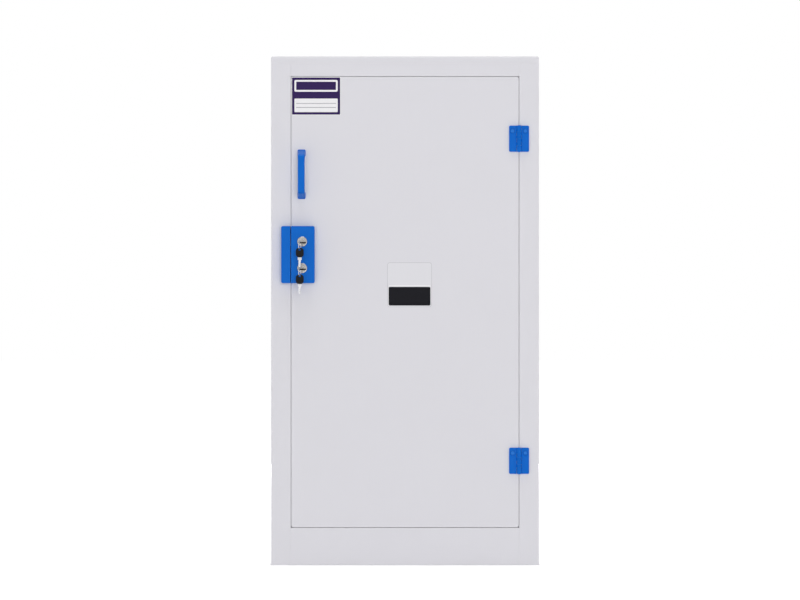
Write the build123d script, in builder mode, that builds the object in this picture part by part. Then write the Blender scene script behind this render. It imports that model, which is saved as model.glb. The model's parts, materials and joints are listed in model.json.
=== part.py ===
from build123d import *
from math import cos, radians, sin, sqrt
import os

os.makedirs("parts", exist_ok=True)

# One-door polypropylene cabinet for corrosive reagents, in millimetres.
# +Z is up, the front faces -Y, and +X is to the right of someone who faces the door. The origin is the
# middle of the carcass's footprint, on the floor.

# Carcass
WIDTH = 590.0
DEPTH = 460.0
HEIGHT = 1120.0
BOARD = 10.0  # side, back and floor boards
TOP_BOARD = 15.0
FRAME_BOARD = 12.0  # stiles, head rail and plinth board
STILE_FACE = 43.5
HEAD_RAIL_FACE = 29.0
PLINTH_FACE = 82.0
TOP_ROUND = 4.0
EDGE_ROUND = 2.0
BEARER_HEIGHT = 20.0
BEARER_WIDTH = 40.0
BEARER_INSET = 65.0  # between a side panel and the bearer next to it

# Door
DOOR_GAP = 1.0
DOOR_CORNER = 5.0
DOOR_REST_GAP = 0.4  # between the closed door and its stops
STIFFENER = 10.0
STIFFENER_WIDTH = 45.0
STOP = 10.0
STOP_LAP = 10.0  # how far a stop reaches behind the door
STOP_SEAT = 10.5  # how far a stop lies on the frame
STIFFENER_CLEARANCE = 5.0  # between a stop and the stiffeners

# Hinges
HINGE_HEIGHT = 57.5
HINGE_UPPER_INSET = 136.4  # from the door's top to the upper hinge's middle
HINGE_LOWER_INSET = 146.6  # from the door's lower edge to the lower hinge's middle
LEAF = 4.5
LEAF_REACH = 22.0
LEAF_CORNER = 3.0
LEAF_EDGE = 0.75
KNUCKLE_RADIUS = 5.3
KNUCKLE_LIFT = 0.3  # between the knuckles and the face of the door
END_KNUCKLE = 13.6
MIDDLE_KNUCKLES = 4
KNUCKLE_GAP = 0.4
PIN_RADIUS = 2.5
PIN_CLEARANCE = 0.05
PIN_SHOW = 0.8
PIN_EDGE = 0.7
PEG_RADIUS = 2.0
PEG_LENGTH = 4.0
PEG_CLEARANCE = 0.1
PEG_RISE = 15.0  # from the hinge's middle down to its locating peg
HINGE_SCREW_X = 14.0  # from the pin's axis
HINGE_SCREW_DROP = 11.7  # from the hinge's top
HINGE_SCREW_RADIUS = 2.2
HINGE_SCREW_BITE = 8.5
HINGE_HEAD_RADIUS = 4.2
HINGE_HEAD_HEIGHT = 2.3
HINGE_HEAD_ROUND = 1.4
HINGE_RECESS_RADIUS = 5.3
HINGE_RECESS = 2.6

# Handle
HANDLE_INSET = 22.7  # from the door's latch edge to the handle's middle
HANDLE_DROP = 160.3  # from the door's top to the handle's
HANDLE_HEIGHT = 108.8
HANDLE_WIDTH = 15.2
HANDLE_REACH = 38.0
HANDLE_SLOPE = 13.0
HANDLE_GRIP = 11.0
HANDLE_FOOT = 16.0
HANDLE_ARM = 11.0
HANDLE_OUTER_BEND = 9.0
HANDLE_INNER_BEND = 6.0
HANDLE_EDGE = 3.0
HANDLE_PAD = 3.0
HANDLE_PAD_WIDTH = 17.6
HANDLE_SCREW_RADIUS = 2.5
HANDLE_SCREW_BITE = 10.0
HANDLE_SCREW_INSET = 9.0

# Lock case and keeper
CASE_DROP = 329.0  # from the door's top to the case's
CASE_DEPTH = 22.0
CASE_WALL = 2.3  # above the upper cam's room
CASE_FOOT = 33.1  # from the lower lock to the case's lower end
CASE_CORNER = 4.0
CASE_EDGE = 1.2
CAVITY_DEPTH = 10.0
KEEPER_FACE = 20.2
KEEPER_INSET = 0.5
POCKET_DEPTH = 9.0
POCKET_CLEARANCE = 1.5
CASE_SCREW_RADIUS = 2.0
CASE_SCREW_BITE = 12.0
CASE_SCREW_INSET = 6.6
CASE_SCREW_WALL = 5.5  # between the cams' room and the screws beside it
KEEPER_SCREW_CLEARANCE = 1.0  # between the keeper screws' heads and the door stops
SCREW_CLEARANCE = 0.1
SCREW_HEAD_HEIGHT = 2.6
SCREW_HEAD_ROUND = 1.5
RECESS_SLOT = 1.1
RECESS_DEPTH = 1.2

# Locks: distances along a lock are measured forwards from the face of the door
LOCK_INSET = 24.5  # from the door's latch edge to the locks
BARREL_RADIUS = 9.0
BARREL_FACE_RADIUS = 11.2
BARREL_FACE = 3.0
BARREL_DOME = 2.4
BARREL_SHOW = 0.7  # how far a barrel's threaded end stands out of its nut
NUT_RADIUS = 12.4
NUT = 2.6
PLUG_RADIUS = 6.0
PLUG_HEAD_RADIUS = 7.2
PLUG_HEAD = 2.0
PLUG_CLEARANCE = 0.05
PLUG_PROUD = 0.3
PLUG_END = 2.6  # what is left of a plug behind its keyway
TAIL = 7.0
CAM = 3.0
CAM_WIDTH = 14.0
CAM_HUB_RADIUS = 9.0
CAM_THROW = 5.0  # how far a turned cam goes into the keeper
CAM_CLEARANCE = 0.3
CAVITY_CLEARANCE = 0.8
CAM_SCREW_RADIUS = 1.5
CAM_SCREW_HEAD_RADIUS = 3.5
CAM_SCREW_HEAD = 2.0
CAM_SCREW_ROUND = 1.0
CAM_SCREW_BITE = 5.0

# Keys and key rings
KEY_DROP = 3.0  # the keyway's middle below the plug's axis
BLADE = 2.0
BLADE_WIDTH = 5.2
SHOULDER_WIDTH = 9.0
SHOULDER_LENGTH = 5.5
KEYWAY_CLEARANCE = 0.2
SHOULDER_GAP = 0.3
BOW = 2.6
BOW_WIDTH = 18.0
BOW_LENGTH = 21.0
BOW_CORNER = 7.5
BOW_SLOT_WIDTH = 13.0
BOW_SLOT = 6.8
BOW_RIM = 2.0
BOW_EDGE = 0.8
RING_RADIUS = 8.5
RING_WIRE_RADIUS = 0.65
RING_GAP = 0.65  # loose enough for a ring to swing 20 degrees each way
RING_YAW = 15.0
RING_ASIDE = 3.2  # from the key's middle line to where its ring hangs
RING_AHEAD = 5.15  # from the middle of the bow's slot to the ring's centre
SPARE_KEY_GAP = 3.4  # between the upper spare key's tip and the lower key

# Shelves
UPRIGHT = 20.0
UPRIGHT_WIDTH = 30.0
UPRIGHT_RISE = 28.0  # above the door's sill
UPRIGHT_TOP_GAP = 55.0  # under the top panel
UPRIGHT_FRONT_INSET = 70.0
UPRIGHT_BACK_INSET = 40.0
GROOVE_PITCH = 80.0
GROOVE_FIRST = 40.0
GROOVE_DEPTH = 12.0
GROOVE_CLEARANCE = 0.6
LEDGE = 12.0
LEDGE_WIDTH = 45.0
LEDGE_OVERHANG = 15.0
TRAY_CLEARANCE = 2.5  # at each side, to pass the door opening
TRAY_HEIGHT = 36.0
TRAY_WALL = 6.0
TRAY_CORNER = 12.0
TRAY_LIP_ROUND = 1.5
TRAY_FRONT_GAP = 26.4  # behind the door's stiffeners
TRAY_BACK_GAP = 12.0

# Vent ports
VENT_RADIUS = 25.0
VENT_WALL = 3.0
VENT_FLANGE = 9.0
VENT_FLANGE_THICKNESS = 4.0
VENT_FLANGE_EDGE = 1.0
VENT_INSET = 115.0
VENT_RISE = 120.0  # from the floor panel to the lower port's middle
VENT_DROP = 85.0  # from the top panel to the upper port's middle

# Places that follow from the sizes
front = -DEPTH / 2
back = DEPTH / 2
outer_x = WIDTH / 2
inner_x = outer_x - BOARD
frame_back = front + FRAME_BOARD
inner_back = back - BOARD
under_top = HEIGHT - TOP_BOARD
opening_x = outer_x - STILE_FACE
opening_low = PLINTH_FACE
opening_high = under_top - HEAD_RAIL_FACE
door_x = opening_x - DOOR_GAP
door_low = opening_low + DOOR_GAP
door_high = opening_high - DOOR_GAP
door_board = FRAME_BOARD - DOOR_REST_GAP
door_back = front + door_board
stiffener_back = door_back + STIFFENER
stop_x = opening_x - STOP_LAP
stop_low = opening_low + STOP_LAP
stop_high = opening_high - STOP_LAP
stiffener_x = stop_x - STIFFENER_CLEARANCE
stiffener_low = stop_low + STIFFENER_CLEARANCE
stiffener_high = stop_high - STIFFENER_CLEARANCE
hinge_x = opening_x - DOOR_GAP / 2
hinge_y = front - KNUCKLE_RADIUS - KNUCKLE_LIFT
handle_x = HANDLE_INSET - door_x
handle_top = door_high - HANDLE_DROP
handle_low = handle_top - HANDLE_HEIGHT

# Along the locks
barrel_back = CAVITY_DEPTH - NUT - BARREL_SHOW
barrel_front = CASE_DEPTH + BARREL_FACE
plug_front = barrel_front + PLUG_PROUD
blade_length = plug_front - barrel_back - PLUG_END
cam_back = barrel_back - CAM_CLEARANCE - CAM
cam_screw_back = cam_back - CAM_SCREW_HEAD
bow_start = plug_front + SHOULDER_GAP + SHOULDER_LENGTH
slot_along = BOW_LENGTH - BOW_RIM - BOW_SLOT / 2

# Across the locks: the cams reach from the locks into the keeper's pocket
case_left = -door_x
keeper_right = -opening_x - KEEPER_INSET
keeper_left = keeper_right - KEEPER_FACE
lock_x = LOCK_INSET - door_x
cam_reach = lock_x - keeper_right + CAM_THROW
cavity_right = lock_x + NUT_RADIUS + CAVITY_CLEARANCE
case_screw_x = cavity_right + CASE_SCREW_WALL + CASE_SCREW_RADIUS
case_right = case_screw_x + CASE_SCREW_INSET
keeper_screw_x = -opening_x - STOP_SEAT - KEEPER_SCREW_CLEARANCE - 2 * CASE_SCREW_RADIUS
pocket_left = lock_x - cam_reach - POCKET_CLEARANCE
pocket_rise = sqrt(cam_reach**2 - (lock_x - keeper_right) ** 2) + POCKET_CLEARANCE

# Up the lock case: the upper spare key hangs clear of the lower key
ring_drop = KEY_DROP - BOW / 2 - RING_GAP - RING_WIRE_RADIUS + RING_RADIUS
spare_rim_drop = ring_drop + RING_RADIUS - RING_WIRE_RADIUS - RING_GAP
spare_drop = spare_rim_drop - BOW_RIM + BOW_LENGTH
lock_pitch = spare_drop + SHOULDER_LENGTH + blade_length + SPARE_KEY_GAP - KEY_DROP + BOW / 2
case_high = door_high - CASE_DROP
lock_upper_z = case_high - CASE_WALL - CAVITY_CLEARANCE - cam_reach
lock_lower_z = lock_upper_z - lock_pitch
case_low = lock_lower_z - CASE_FOOT
case_middle = (case_low + case_high) / 2


def facing(y):
    """An upright plane at depth y, seen from the front: extruding it forwards is a positive amount."""
    return Plane.XZ.offset(-y)


def block(x, y, z, mode=Mode.ADD):
    """A straight block in the part being built, between a low and a high value of x, y and z."""
    with Locations((x[0], y[0], z[0])):
        Box(x[1] - x[0], y[1] - y[0], z[1] - z[0], align=(Align.MIN, Align.MIN, Align.MIN), mode=mode)


def cross_recess(points, plane, length):
    """A cross-shaped driver recess, sunk into each screw head of the part being built."""
    with Locations(*[plane.from_local_coords((x, z, 0)) for x, z in points]):
        for across, tall in ((length, RECESS_SLOT), (RECESS_SLOT, length)):
            Box(across, 2 * RECESS_DEPTH, tall, mode=Mode.SUBTRACT)


# Side panels
for side, name in ((-1, "side_panel_left"), (1, "side_panel_right")):
    with BuildPart() as side_panel:
        block(sorted((side * inner_x, side * outer_x)), (frame_back, back), (0, under_top))
        back_corners = side_panel.edges().filter_by(Axis.Z).group_by(Axis.Y)[-1].sort_by(Axis.X)
        fillet(back_corners[-1 if side > 0 else 0], EDGE_ROUND)
    side_panel.part.label = name
    export_step(side_panel.part, f"parts/{name}.step")

# Top panel, its front edge in one plane with the frame
with BuildPart() as top_panel:
    block((-outer_x, outer_x), (front, back), (under_top, HEIGHT))
    fillet(top_panel.edges().filter_by(Axis.Z), EDGE_ROUND)
    fillet(top_panel.faces().sort_by(Axis.Z)[-1].edges(), TOP_ROUND)
top_panel.part.label = "top_panel"
export_step(top_panel.part, "parts/top_panel.step")

# Floor panel: the plinth board, the sides and the back rise above it and make the sump
with BuildPart() as floor_panel:
    block((-inner_x, inner_x), (frame_back, inner_back), (BEARER_HEIGHT, BEARER_HEIGHT + BOARD))
floor_panel.part.label = "floor_panel"
export_step(floor_panel.part, "parts/floor_panel.step")

# Bearers under the floor panel
with BuildPart() as base_bearers:
    with BuildSketch():
        with Locations((0, (frame_back + inner_back) / 2)):
            with GridLocations(inner_x - BEARER_INSET - BEARER_WIDTH / 2, 0, 3, 1):
                Rectangle(BEARER_WIDTH, inner_back - frame_back)
    extrude(amount=BEARER_HEIGHT)
base_bearers.part.label = "base_bearers"
export_step(base_bearers.part, "parts/base_bearers.step")

# Back panel with its two vent holes
vent_places = {
    "vent_port_upper": (outer_x - VENT_INSET, under_top - VENT_DROP),
    "vent_port_lower": (VENT_INSET - outer_x, BEARER_HEIGHT + BOARD + VENT_RISE),
}
with BuildPart() as back_panel:
    block((-inner_x, inner_x), (inner_back, back), (0, under_top))
    with BuildSketch(facing(back)):
        with Locations(*vent_places.values()):
            Circle(VENT_RADIUS + VENT_WALL)
    extrude(amount=BOARD, mode=Mode.SUBTRACT)
back_panel.part.label = "back_panel"
export_step(back_panel.part, "parts/back_panel.step")

# Vent ports: a sleeve through the back panel, with a flange inside
for name, place in vent_places.items():
    with BuildPart() as vent_port:
        with BuildSketch(facing(back)):
            with Locations(place):
                Circle(VENT_RADIUS + VENT_WALL)
                Circle(VENT_RADIUS, mode=Mode.SUBTRACT)
        extrude(amount=BOARD)
        with BuildSketch(facing(inner_back)):
            with Locations(place):
                Circle(VENT_RADIUS + VENT_WALL + VENT_FLANGE)
                Circle(VENT_RADIUS, mode=Mode.SUBTRACT)
        extrude(amount=VENT_FLANGE_THICKNESS)
        chamfer(vent_port.faces().sort_by(Axis.Y)[0].outer_wire().edges(), VENT_FLANGE_EDGE)
    vent_port.part.label = name
    export_step(vent_port.part, f"parts/{name}.step")

# Stiles
keeper_screws_at = [
    (keeper_screw_x, case_low + CASE_SCREW_INSET),
    (keeper_screw_x, case_high - CASE_SCREW_INSET),
]
hinge_places = {"upper": door_high - HINGE_UPPER_INSET, "lower": door_low + HINGE_LOWER_INSET}
screw_rise = HINGE_HEIGHT / 2 - HINGE_SCREW_DROP


def hinge_points(side, rise):
    """One point for each hinge, HINGE_SCREW_X from the pin's axis: side is -1 on the door, 1 on the frame."""
    return [(hinge_x + side * HINGE_SCREW_X, z + rise) for z in hinge_places.values()]


for side, name in ((-1, "stile_left"), (1, "stile_right")):
    with BuildPart() as stile:
        block(sorted((side * opening_x, side * outer_x)), (front, frame_back), (0, under_top))
        outer_corner = stile.edges().filter_by(Axis.Z).group_by(Axis.Y)[0].sort_by(Axis.X)
        fillet(outer_corner[-1 if side > 0 else 0], EDGE_ROUND)
        if side > 0:
            with BuildSketch(facing(front)):
                with Locations(*hinge_points(1, screw_rise)):
                    Circle(HINGE_SCREW_RADIUS)
            extrude(amount=-HINGE_SCREW_BITE, mode=Mode.SUBTRACT)
            with BuildSketch(facing(front)):
                with Locations(*hinge_points(1, -PEG_RISE)):
                    Circle(PEG_RADIUS + PEG_CLEARANCE)
            extrude(amount=-PEG_LENGTH - PEG_CLEARANCE, mode=Mode.SUBTRACT)
        else:
            with BuildSketch(facing(front)):
                with Locations(*keeper_screws_at):
                    Circle(CASE_SCREW_RADIUS + SCREW_CLEARANCE)
            extrude(amount=-FRAME_BOARD, mode=Mode.SUBTRACT)
    stile.part.label = name
    export_step(stile.part, f"parts/{name}.step")

# Head rail
with BuildPart() as head_rail:
    block((-opening_x, opening_x), (front, frame_back), (opening_high, under_top))
head_rail.part.label = "head_rail"
export_step(head_rail.part, "parts/head_rail.step")

# Plinth board, which is also the front wall of the sump
with BuildPart() as plinth_board:
    block((-opening_x, opening_x), (front, frame_back), (0, opening_low))
plinth_board.part.label = "plinth_board"
export_step(plinth_board.part, "parts/plinth_board.step")

# Door stops: two upright strips, and one across at the top and at the sill
with BuildPart() as door_stops:
    for side in (-1, 1):
        across = sorted((side * stop_x, side * (opening_x + STOP_SEAT)))
        block(across, (frame_back, frame_back + STOP), (opening_low - STOP_SEAT, opening_high + STOP_SEAT))
door_stops.part.label = "door_stops_upright"
export_step(door_stops.part, "parts/door_stops_upright.step")
with BuildPart() as cross_stops:
    block((-stop_x, stop_x), (frame_back, frame_back + STOP), (opening_low - STOP_SEAT, stop_low))
    block((-stop_x, stop_x), (frame_back, frame_back + STOP), (stop_high, opening_high + STOP_SEAT))
cross_stops.part.label = "door_stops_level"
export_step(cross_stops.part, "parts/door_stops_level.step")

# Shelf uprights, grooved across their inner faces
groove = LEDGE + GROOVE_CLEARANCE
upright_low = opening_low + UPRIGHT_RISE
upright_high = under_top - UPRIGHT_TOP_GAP
first_groove_low = upright_low + GROOVE_FIRST
groove_count = int((upright_high - first_groove_low - groove) / GROOVE_PITCH) + 1
front_upright_y = front + UPRIGHT_FRONT_INSET
back_upright_y = inner_back - UPRIGHT_BACK_INSET - UPRIGHT_WIDTH
upright_face = inner_x - UPRIGHT
for side, side_name in ((-1, "left"), (1, "right")):
    for y, row_name in ((front_upright_y, "front"), (back_upright_y, "rear")):
        with BuildPart() as upright:
            block(
                sorted((side * upright_face, side * inner_x)),
                (y, y + UPRIGHT_WIDTH),
                (upright_low, upright_high),
            )
            for number in range(groove_count):
                low = first_groove_low + number * GROOVE_PITCH
                block(
                    sorted((side * upright_face, side * (upright_face + GROOVE_DEPTH))),
                    (y, y + UPRIGHT_WIDTH),
                    (low, low + groove),
                    mode=Mode.SUBTRACT,
                )
        upright.part.label = f"shelf_upright_{side_name}_{row_name}"
        export_step(upright.part, f"parts/shelf_upright_{side_name}_{row_name}.step")

# Ledges that slide into the grooves, and the lipped trays that stand on them
ledge_outer = upright_face + GROOVE_DEPTH - GROOVE_CLEARANCE / 2
ledge_y = (front_upright_y - LEDGE_OVERHANG, back_upright_y + UPRIGHT_WIDTH + LEDGE_OVERHANG)
tray_x = opening_x - TRAY_CLEARANCE
tray_front = stiffener_back + TRAY_FRONT_GAP
tray_back = inner_back - TRAY_BACK_GAP
tray_middle = (tray_front + tray_back) / 2
tray_depth = tray_back - tray_front
for level, number in (("lower", groove_count // 4), ("upper", 2 * groove_count // 3)):
    ledge_low = first_groove_low + number * GROOVE_PITCH
    tray_low = ledge_low + LEDGE
    for side, side_name in ((-1, "left"), (1, "right")):
        with BuildPart() as ledge:
            block(
                sorted((side * (ledge_outer - LEDGE_WIDTH), side * ledge_outer)),
                ledge_y,
                (ledge_low, tray_low),
            )
            chamfer(ledge.edges().filter_by(Axis.X), EDGE_ROUND / 2)
        ledge.part.label = f"shelf_ledge_{level}_{side_name}"
        export_step(ledge.part, f"parts/shelf_ledge_{level}_{side_name}.step")
    with BuildPart() as tray:
        with BuildSketch(Plane.XY.offset(tray_low)):
            with Locations((0, tray_middle)):
                RectangleRounded(2 * tray_x, tray_depth, TRAY_CORNER)
        extrude(amount=TRAY_HEIGHT)
        with BuildSketch(Plane.XY.offset(tray_low + TRAY_WALL)):
            with Locations((0, tray_middle)):
                inner_width = 2 * (tray_x - TRAY_WALL)
                RectangleRounded(inner_width, tray_depth - 2 * TRAY_WALL, TRAY_CORNER - TRAY_WALL)
        extrude(amount=TRAY_HEIGHT, mode=Mode.SUBTRACT)
        fillet(tray.faces().sort_by(Axis.Z)[-1].edges(), TRAY_LIP_ROUND)
    tray.part.label = f"shelf_tray_{level}"
    export_step(tray.part, f"parts/shelf_tray_{level}.step")

# Door panel, with blind holes for the hinges and through holes for what is screwed on from behind
case_screws_at = [
    (case_screw_x, case_high - CASE_SCREW_INSET),
    (case_screw_x, case_middle),
    (case_screw_x, case_low + CASE_SCREW_INSET),
    (lock_x, case_low + CASE_SCREW_INSET),
]
handle_screws_at = [
    (handle_x, handle_top - HANDLE_SCREW_INSET),
    (handle_x, handle_low + HANDLE_SCREW_INSET),
]
with BuildPart() as door_panel:
    with BuildSketch(facing(front)):
        with Locations((0, (door_low + door_high) / 2)):
            RectangleRounded(2 * door_x, door_high - door_low, DOOR_CORNER)
        with Locations(*case_screws_at):
            Circle(CASE_SCREW_RADIUS + SCREW_CLEARANCE, mode=Mode.SUBTRACT)
        with Locations(*handle_screws_at):
            Circle(HANDLE_SCREW_RADIUS + SCREW_CLEARANCE, mode=Mode.SUBTRACT)
    extrude(amount=-door_board)
    with BuildSketch(facing(front)):
        with Locations(*hinge_points(-1, screw_rise)):
            Circle(HINGE_SCREW_RADIUS)
    extrude(amount=-HINGE_SCREW_BITE, mode=Mode.SUBTRACT)
    with BuildSketch(facing(front)):
        with Locations(*hinge_points(-1, -PEG_RISE)):
            Circle(PEG_RADIUS + PEG_CLEARANCE)
    extrude(amount=-PEG_LENGTH - PEG_CLEARANCE, mode=Mode.SUBTRACT)
door_panel.part.label = "door_panel"
export_step(door_panel.part, "parts/door_panel.step")

# Stiffeners welded to the door's back: two upright boards, and two level ones between them
inner_stiffener_x = stiffener_x - STIFFENER_WIDTH
for side, name in ((-1, "door_stiffener_latch"), (1, "door_stiffener_hinge")):
    with BuildPart() as stiffener:
        across = sorted((side * inner_stiffener_x, side * stiffener_x))
        block(across, (door_back, stiffener_back), (stiffener_low, stiffener_high))
        if side < 0:
            with BuildSketch(facing(door_back)):
                with Locations(*case_screws_at):
                    Circle(CASE_SCREW_RADIUS + SCREW_CLEARANCE)
                with Locations(*handle_screws_at):
                    Circle(HANDLE_SCREW_RADIUS + SCREW_CLEARANCE)
            extrude(amount=-STIFFENER, mode=Mode.SUBTRACT)
    stiffener.part.label = name
    export_step(stiffener.part, f"parts/{name}.step")
for name, low in (
    ("door_stiffener_sill", stiffener_low),
    ("door_stiffener_head", stiffener_high - STIFFENER_WIDTH),
):
    with BuildPart() as stiffener:
        across = (-inner_stiffener_x, inner_stiffener_x)
        block(across, (door_back, stiffener_back), (low, low + STIFFENER_WIDTH))
    stiffener.part.label = name
    export_step(stiffener.part, f"parts/{name}.step")

# Hinge leaves: even knuckles, counted from the top, belong to the door's leaf, odd ones to the frame's
middle_knuckle = (HINGE_HEIGHT - 2 * END_KNUCKLE) / MIDDLE_KNUCKLES
knuckle_heights = [END_KNUCKLE] + MIDDLE_KNUCKLES * [middle_knuckle] + [END_KNUCKLE]
leaf_inner = KNUCKLE_RADIUS + KNUCKLE_GAP
for level, hinge_z in hinge_places.items():
    for side, owner in ((-1, "door"), (1, "frame")):
        bore = PIN_RADIUS + (PIN_CLEARANCE if side < 0 else 0)
        with BuildPart() as leaf:
            with BuildSketch(facing(front)):
                with Locations((hinge_x + side * (leaf_inner + LEAF_REACH) / 2, hinge_z)):
                    Rectangle(LEAF_REACH - leaf_inner, HINGE_HEIGHT)
            extrude(amount=LEAF)
            outer_corners = leaf.edges().filter_by(Axis.Y).sort_by(Axis.X)
            fillet(outer_corners[-2:] if side > 0 else outer_corners[:2], LEAF_CORNER)
            fillet(leaf.faces().sort_by(Axis.Y)[0].edges().filter_by(Axis.X), LEAF_EDGE)
            top = hinge_z + HINGE_HEIGHT / 2
            for number, height in enumerate(knuckle_heights):
                top = top - height
                if number % 2 == (0 if side < 0 else 1):
                    first_or_last = number in (0, len(knuckle_heights) - 1)
                    tall = height - (KNUCKLE_GAP / 2 if first_or_last else KNUCKLE_GAP)
                    low = top + (0 if number == len(knuckle_heights) - 1 else KNUCKLE_GAP / 2)
                    with BuildSketch(Plane.XY.offset(low)):
                        with Locations((hinge_x, hinge_y)):
                            Circle(KNUCKLE_RADIUS)
                        with Locations((hinge_x + side * leaf_inner / 2, front - (LEAF + KNUCKLE_LIFT) / 2)):
                            Rectangle(leaf_inner, LEAF - KNUCKLE_LIFT)
                        with Locations((hinge_x, hinge_y)):
                            Circle(bore, mode=Mode.SUBTRACT)
                    extrude(amount=tall)
            with BuildSketch(facing(front - LEAF)):
                with Locations((hinge_x + side * HINGE_SCREW_X, hinge_z + screw_rise)):
                    Circle(HINGE_RECESS_RADIUS)
            extrude(amount=-HINGE_RECESS, mode=Mode.SUBTRACT)
            with BuildSketch(facing(front)):
                with Locations((hinge_x + side * HINGE_SCREW_X, hinge_z + screw_rise)):
                    Circle(HINGE_SCREW_RADIUS)
            extrude(amount=LEAF, mode=Mode.SUBTRACT)
            with BuildSketch(facing(front)):
                with Locations((hinge_x + side * HINGE_SCREW_X, hinge_z - PEG_RISE)):
                    Circle(PEG_RADIUS)
            extrude(amount=-PEG_LENGTH)
        leaf.part.label = f"hinge_{owner}_leaf_{level}"
        export_step(leaf.part, f"parts/hinge_{owner}_leaf_{level}.step")
    with BuildPart() as pin:
        with BuildSketch(Plane.XY.offset(hinge_z - HINGE_HEIGHT / 2 - PIN_SHOW)):
            with Locations((hinge_x, hinge_y)):
                Circle(PIN_RADIUS)
        extrude(amount=HINGE_HEIGHT + 2 * PIN_SHOW)
        fillet(pin.edges().filter_by(GeomType.CIRCLE), PIN_EDGE)
    pin.part.label = f"hinge_pin_{level}"
    export_step(pin.part, f"parts/hinge_pin_{level}.step")

# Hinge screws, sunk in the leaves' recesses
head_seat = front - LEAF + HINGE_RECESS
for side, owner in ((-1, "door"), (1, "frame")):
    with BuildPart() as hinge_screws:
        points = hinge_points(side, screw_rise)
        with BuildSketch(facing(head_seat)):
            with Locations(*points):
                Circle(HINGE_HEAD_RADIUS)
        extrude(amount=HINGE_HEAD_HEIGHT)
        rims = hinge_screws.faces().sort_by(Axis.Y)[: len(points)]
        fillet(rims.edges(), HINGE_HEAD_ROUND)
        with BuildSketch(facing(head_seat)):
            with Locations(*points):
                Circle(HINGE_SCREW_RADIUS)
        extrude(amount=head_seat - front - HINGE_SCREW_BITE)
        cross_recess(points, facing(head_seat - HINGE_HEAD_HEIGHT), HINGE_HEAD_RADIUS)
    hinge_screws.part.label = f"hinge_screws_{owner}"
    export_step(hinge_screws.part, f"parts/hinge_screws_{owner}.step")

# Handle: a bow with sloping arms, on two pads
reach = front - HANDLE_REACH
grip_back = reach + HANDLE_GRIP
arm = HANDLE_SLOPE + HANDLE_ARM
with BuildPart() as handle:
    with BuildSketch(Plane.YZ.offset(handle_x)):
        with BuildLine():
            Polyline(
                (front, handle_top),
                (reach, handle_top - HANDLE_SLOPE),
                (reach, handle_low + HANDLE_SLOPE),
                (front, handle_low),
                (front, handle_low + HANDLE_FOOT),
                (grip_back, handle_low + arm),
                (grip_back, handle_top - arm),
                (front, handle_top - HANDLE_FOOT),
                close=True,
            )
        make_face()
    extrude(amount=HANDLE_WIDTH / 2, both=True)
    across = handle.edges().filter_by(Axis.X).group_by(Axis.Y)
    fillet(across[1], HANDLE_INNER_BEND)
    across = handle.edges().filter_by(Axis.X).group_by(Axis.Y)
    fillet(across[0], HANDLE_OUTER_BEND)
    sides = handle.faces().filter_by(Axis.X)
    feet = handle.faces().sort_by(Axis.Y)[-2:]
    fillet([edge for edge in sides.edges() if edge not in feet.edges()], HANDLE_EDGE)
    for pad_low in (handle_low, handle_top - HANDLE_FOOT):
        with BuildSketch(facing(front)):
            with Locations((handle_x, pad_low + HANDLE_FOOT / 2)):
                RectangleRounded(HANDLE_PAD_WIDTH, HANDLE_FOOT, HANDLE_EDGE)
        extrude(amount=HANDLE_PAD)
    with BuildSketch(facing(front)):
        with Locations(*handle_screws_at):
            Circle(HANDLE_SCREW_RADIUS)
    extrude(amount=HANDLE_SCREW_BITE, mode=Mode.SUBTRACT)
handle.part.label = "door_handle"
export_step(handle.part, "parts/door_handle.step")


def screws_from_behind(points, head_y, radius, bite):
    """Pan-head screws that point forwards, with their heads on the face at head_y."""
    with BuildPart() as screws:
        with BuildSketch(facing(head_y)):
            with Locations(*points):
                Circle(2 * radius)
        extrude(amount=-SCREW_HEAD_HEIGHT)
        heads = screws.faces().sort_by(Axis.Y)[-len(points) :]
        fillet(heads.edges(), SCREW_HEAD_ROUND)
        with BuildSketch(facing(head_y)):
            with Locations(*points):
                Circle(radius)
        extrude(amount=head_y - front + bite)
        cross_recess(points, facing(head_y + SCREW_HEAD_HEIGHT), 2 * radius)
    return screws


handle_screws = screws_from_behind(handle_screws_at, stiffener_back, HANDLE_SCREW_RADIUS, HANDLE_SCREW_BITE)
handle_screws.part.label = "handle_screws"
export_step(handle_screws.part, "parts/handle_screws.step")
case_screws = screws_from_behind(case_screws_at, stiffener_back, CASE_SCREW_RADIUS, CASE_SCREW_BITE)
case_screws.part.label = "lock_case_screws"
export_step(case_screws.part, "parts/lock_case_screws.step")
keeper_screws = screws_from_behind(keeper_screws_at, frame_back, CASE_SCREW_RADIUS, CASE_SCREW_BITE)
keeper_screws.part.label = "lock_keeper_screws"
export_step(keeper_screws.part, "parts/lock_keeper_screws.step")

# Lock case: hollowed from behind for the nuts and cams, open towards the keeper
lock_places = {"upper": lock_upper_z, "lower": lock_lower_z}
with BuildPart() as lock_case:
    with BuildSketch(facing(front)):
        with Locations(((case_left + case_right) / 2, case_middle)):
            Rectangle(case_right - case_left, case_high - case_low)
    extrude(amount=CASE_DEPTH)
    fillet(lock_case.edges().filter_by(Axis.Y).group_by(Axis.X)[-1], CASE_CORNER)
    fillet(lock_case.faces().sort_by(Axis.Y)[0].edges(), CASE_EDGE)
    for lock_z in lock_places.values():
        block(
            (case_left, cavity_right),
            (front - CAVITY_DEPTH, front),
            (lock_z - NUT_RADIUS - CAVITY_CLEARANCE, lock_z + cam_reach + CAVITY_CLEARANCE),
            mode=Mode.SUBTRACT,
        )
    with BuildSketch(facing(front)):
        with Locations(*[(lock_x, lock_z) for lock_z in lock_places.values()]):
            Circle(BARREL_RADIUS)
    extrude(amount=CASE_DEPTH, mode=Mode.SUBTRACT)
    with BuildSketch(facing(front)):
        with Locations(*case_screws_at):
            Circle(CASE_SCREW_RADIUS)
    extrude(amount=CASE_SCREW_BITE, mode=Mode.SUBTRACT)
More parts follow.
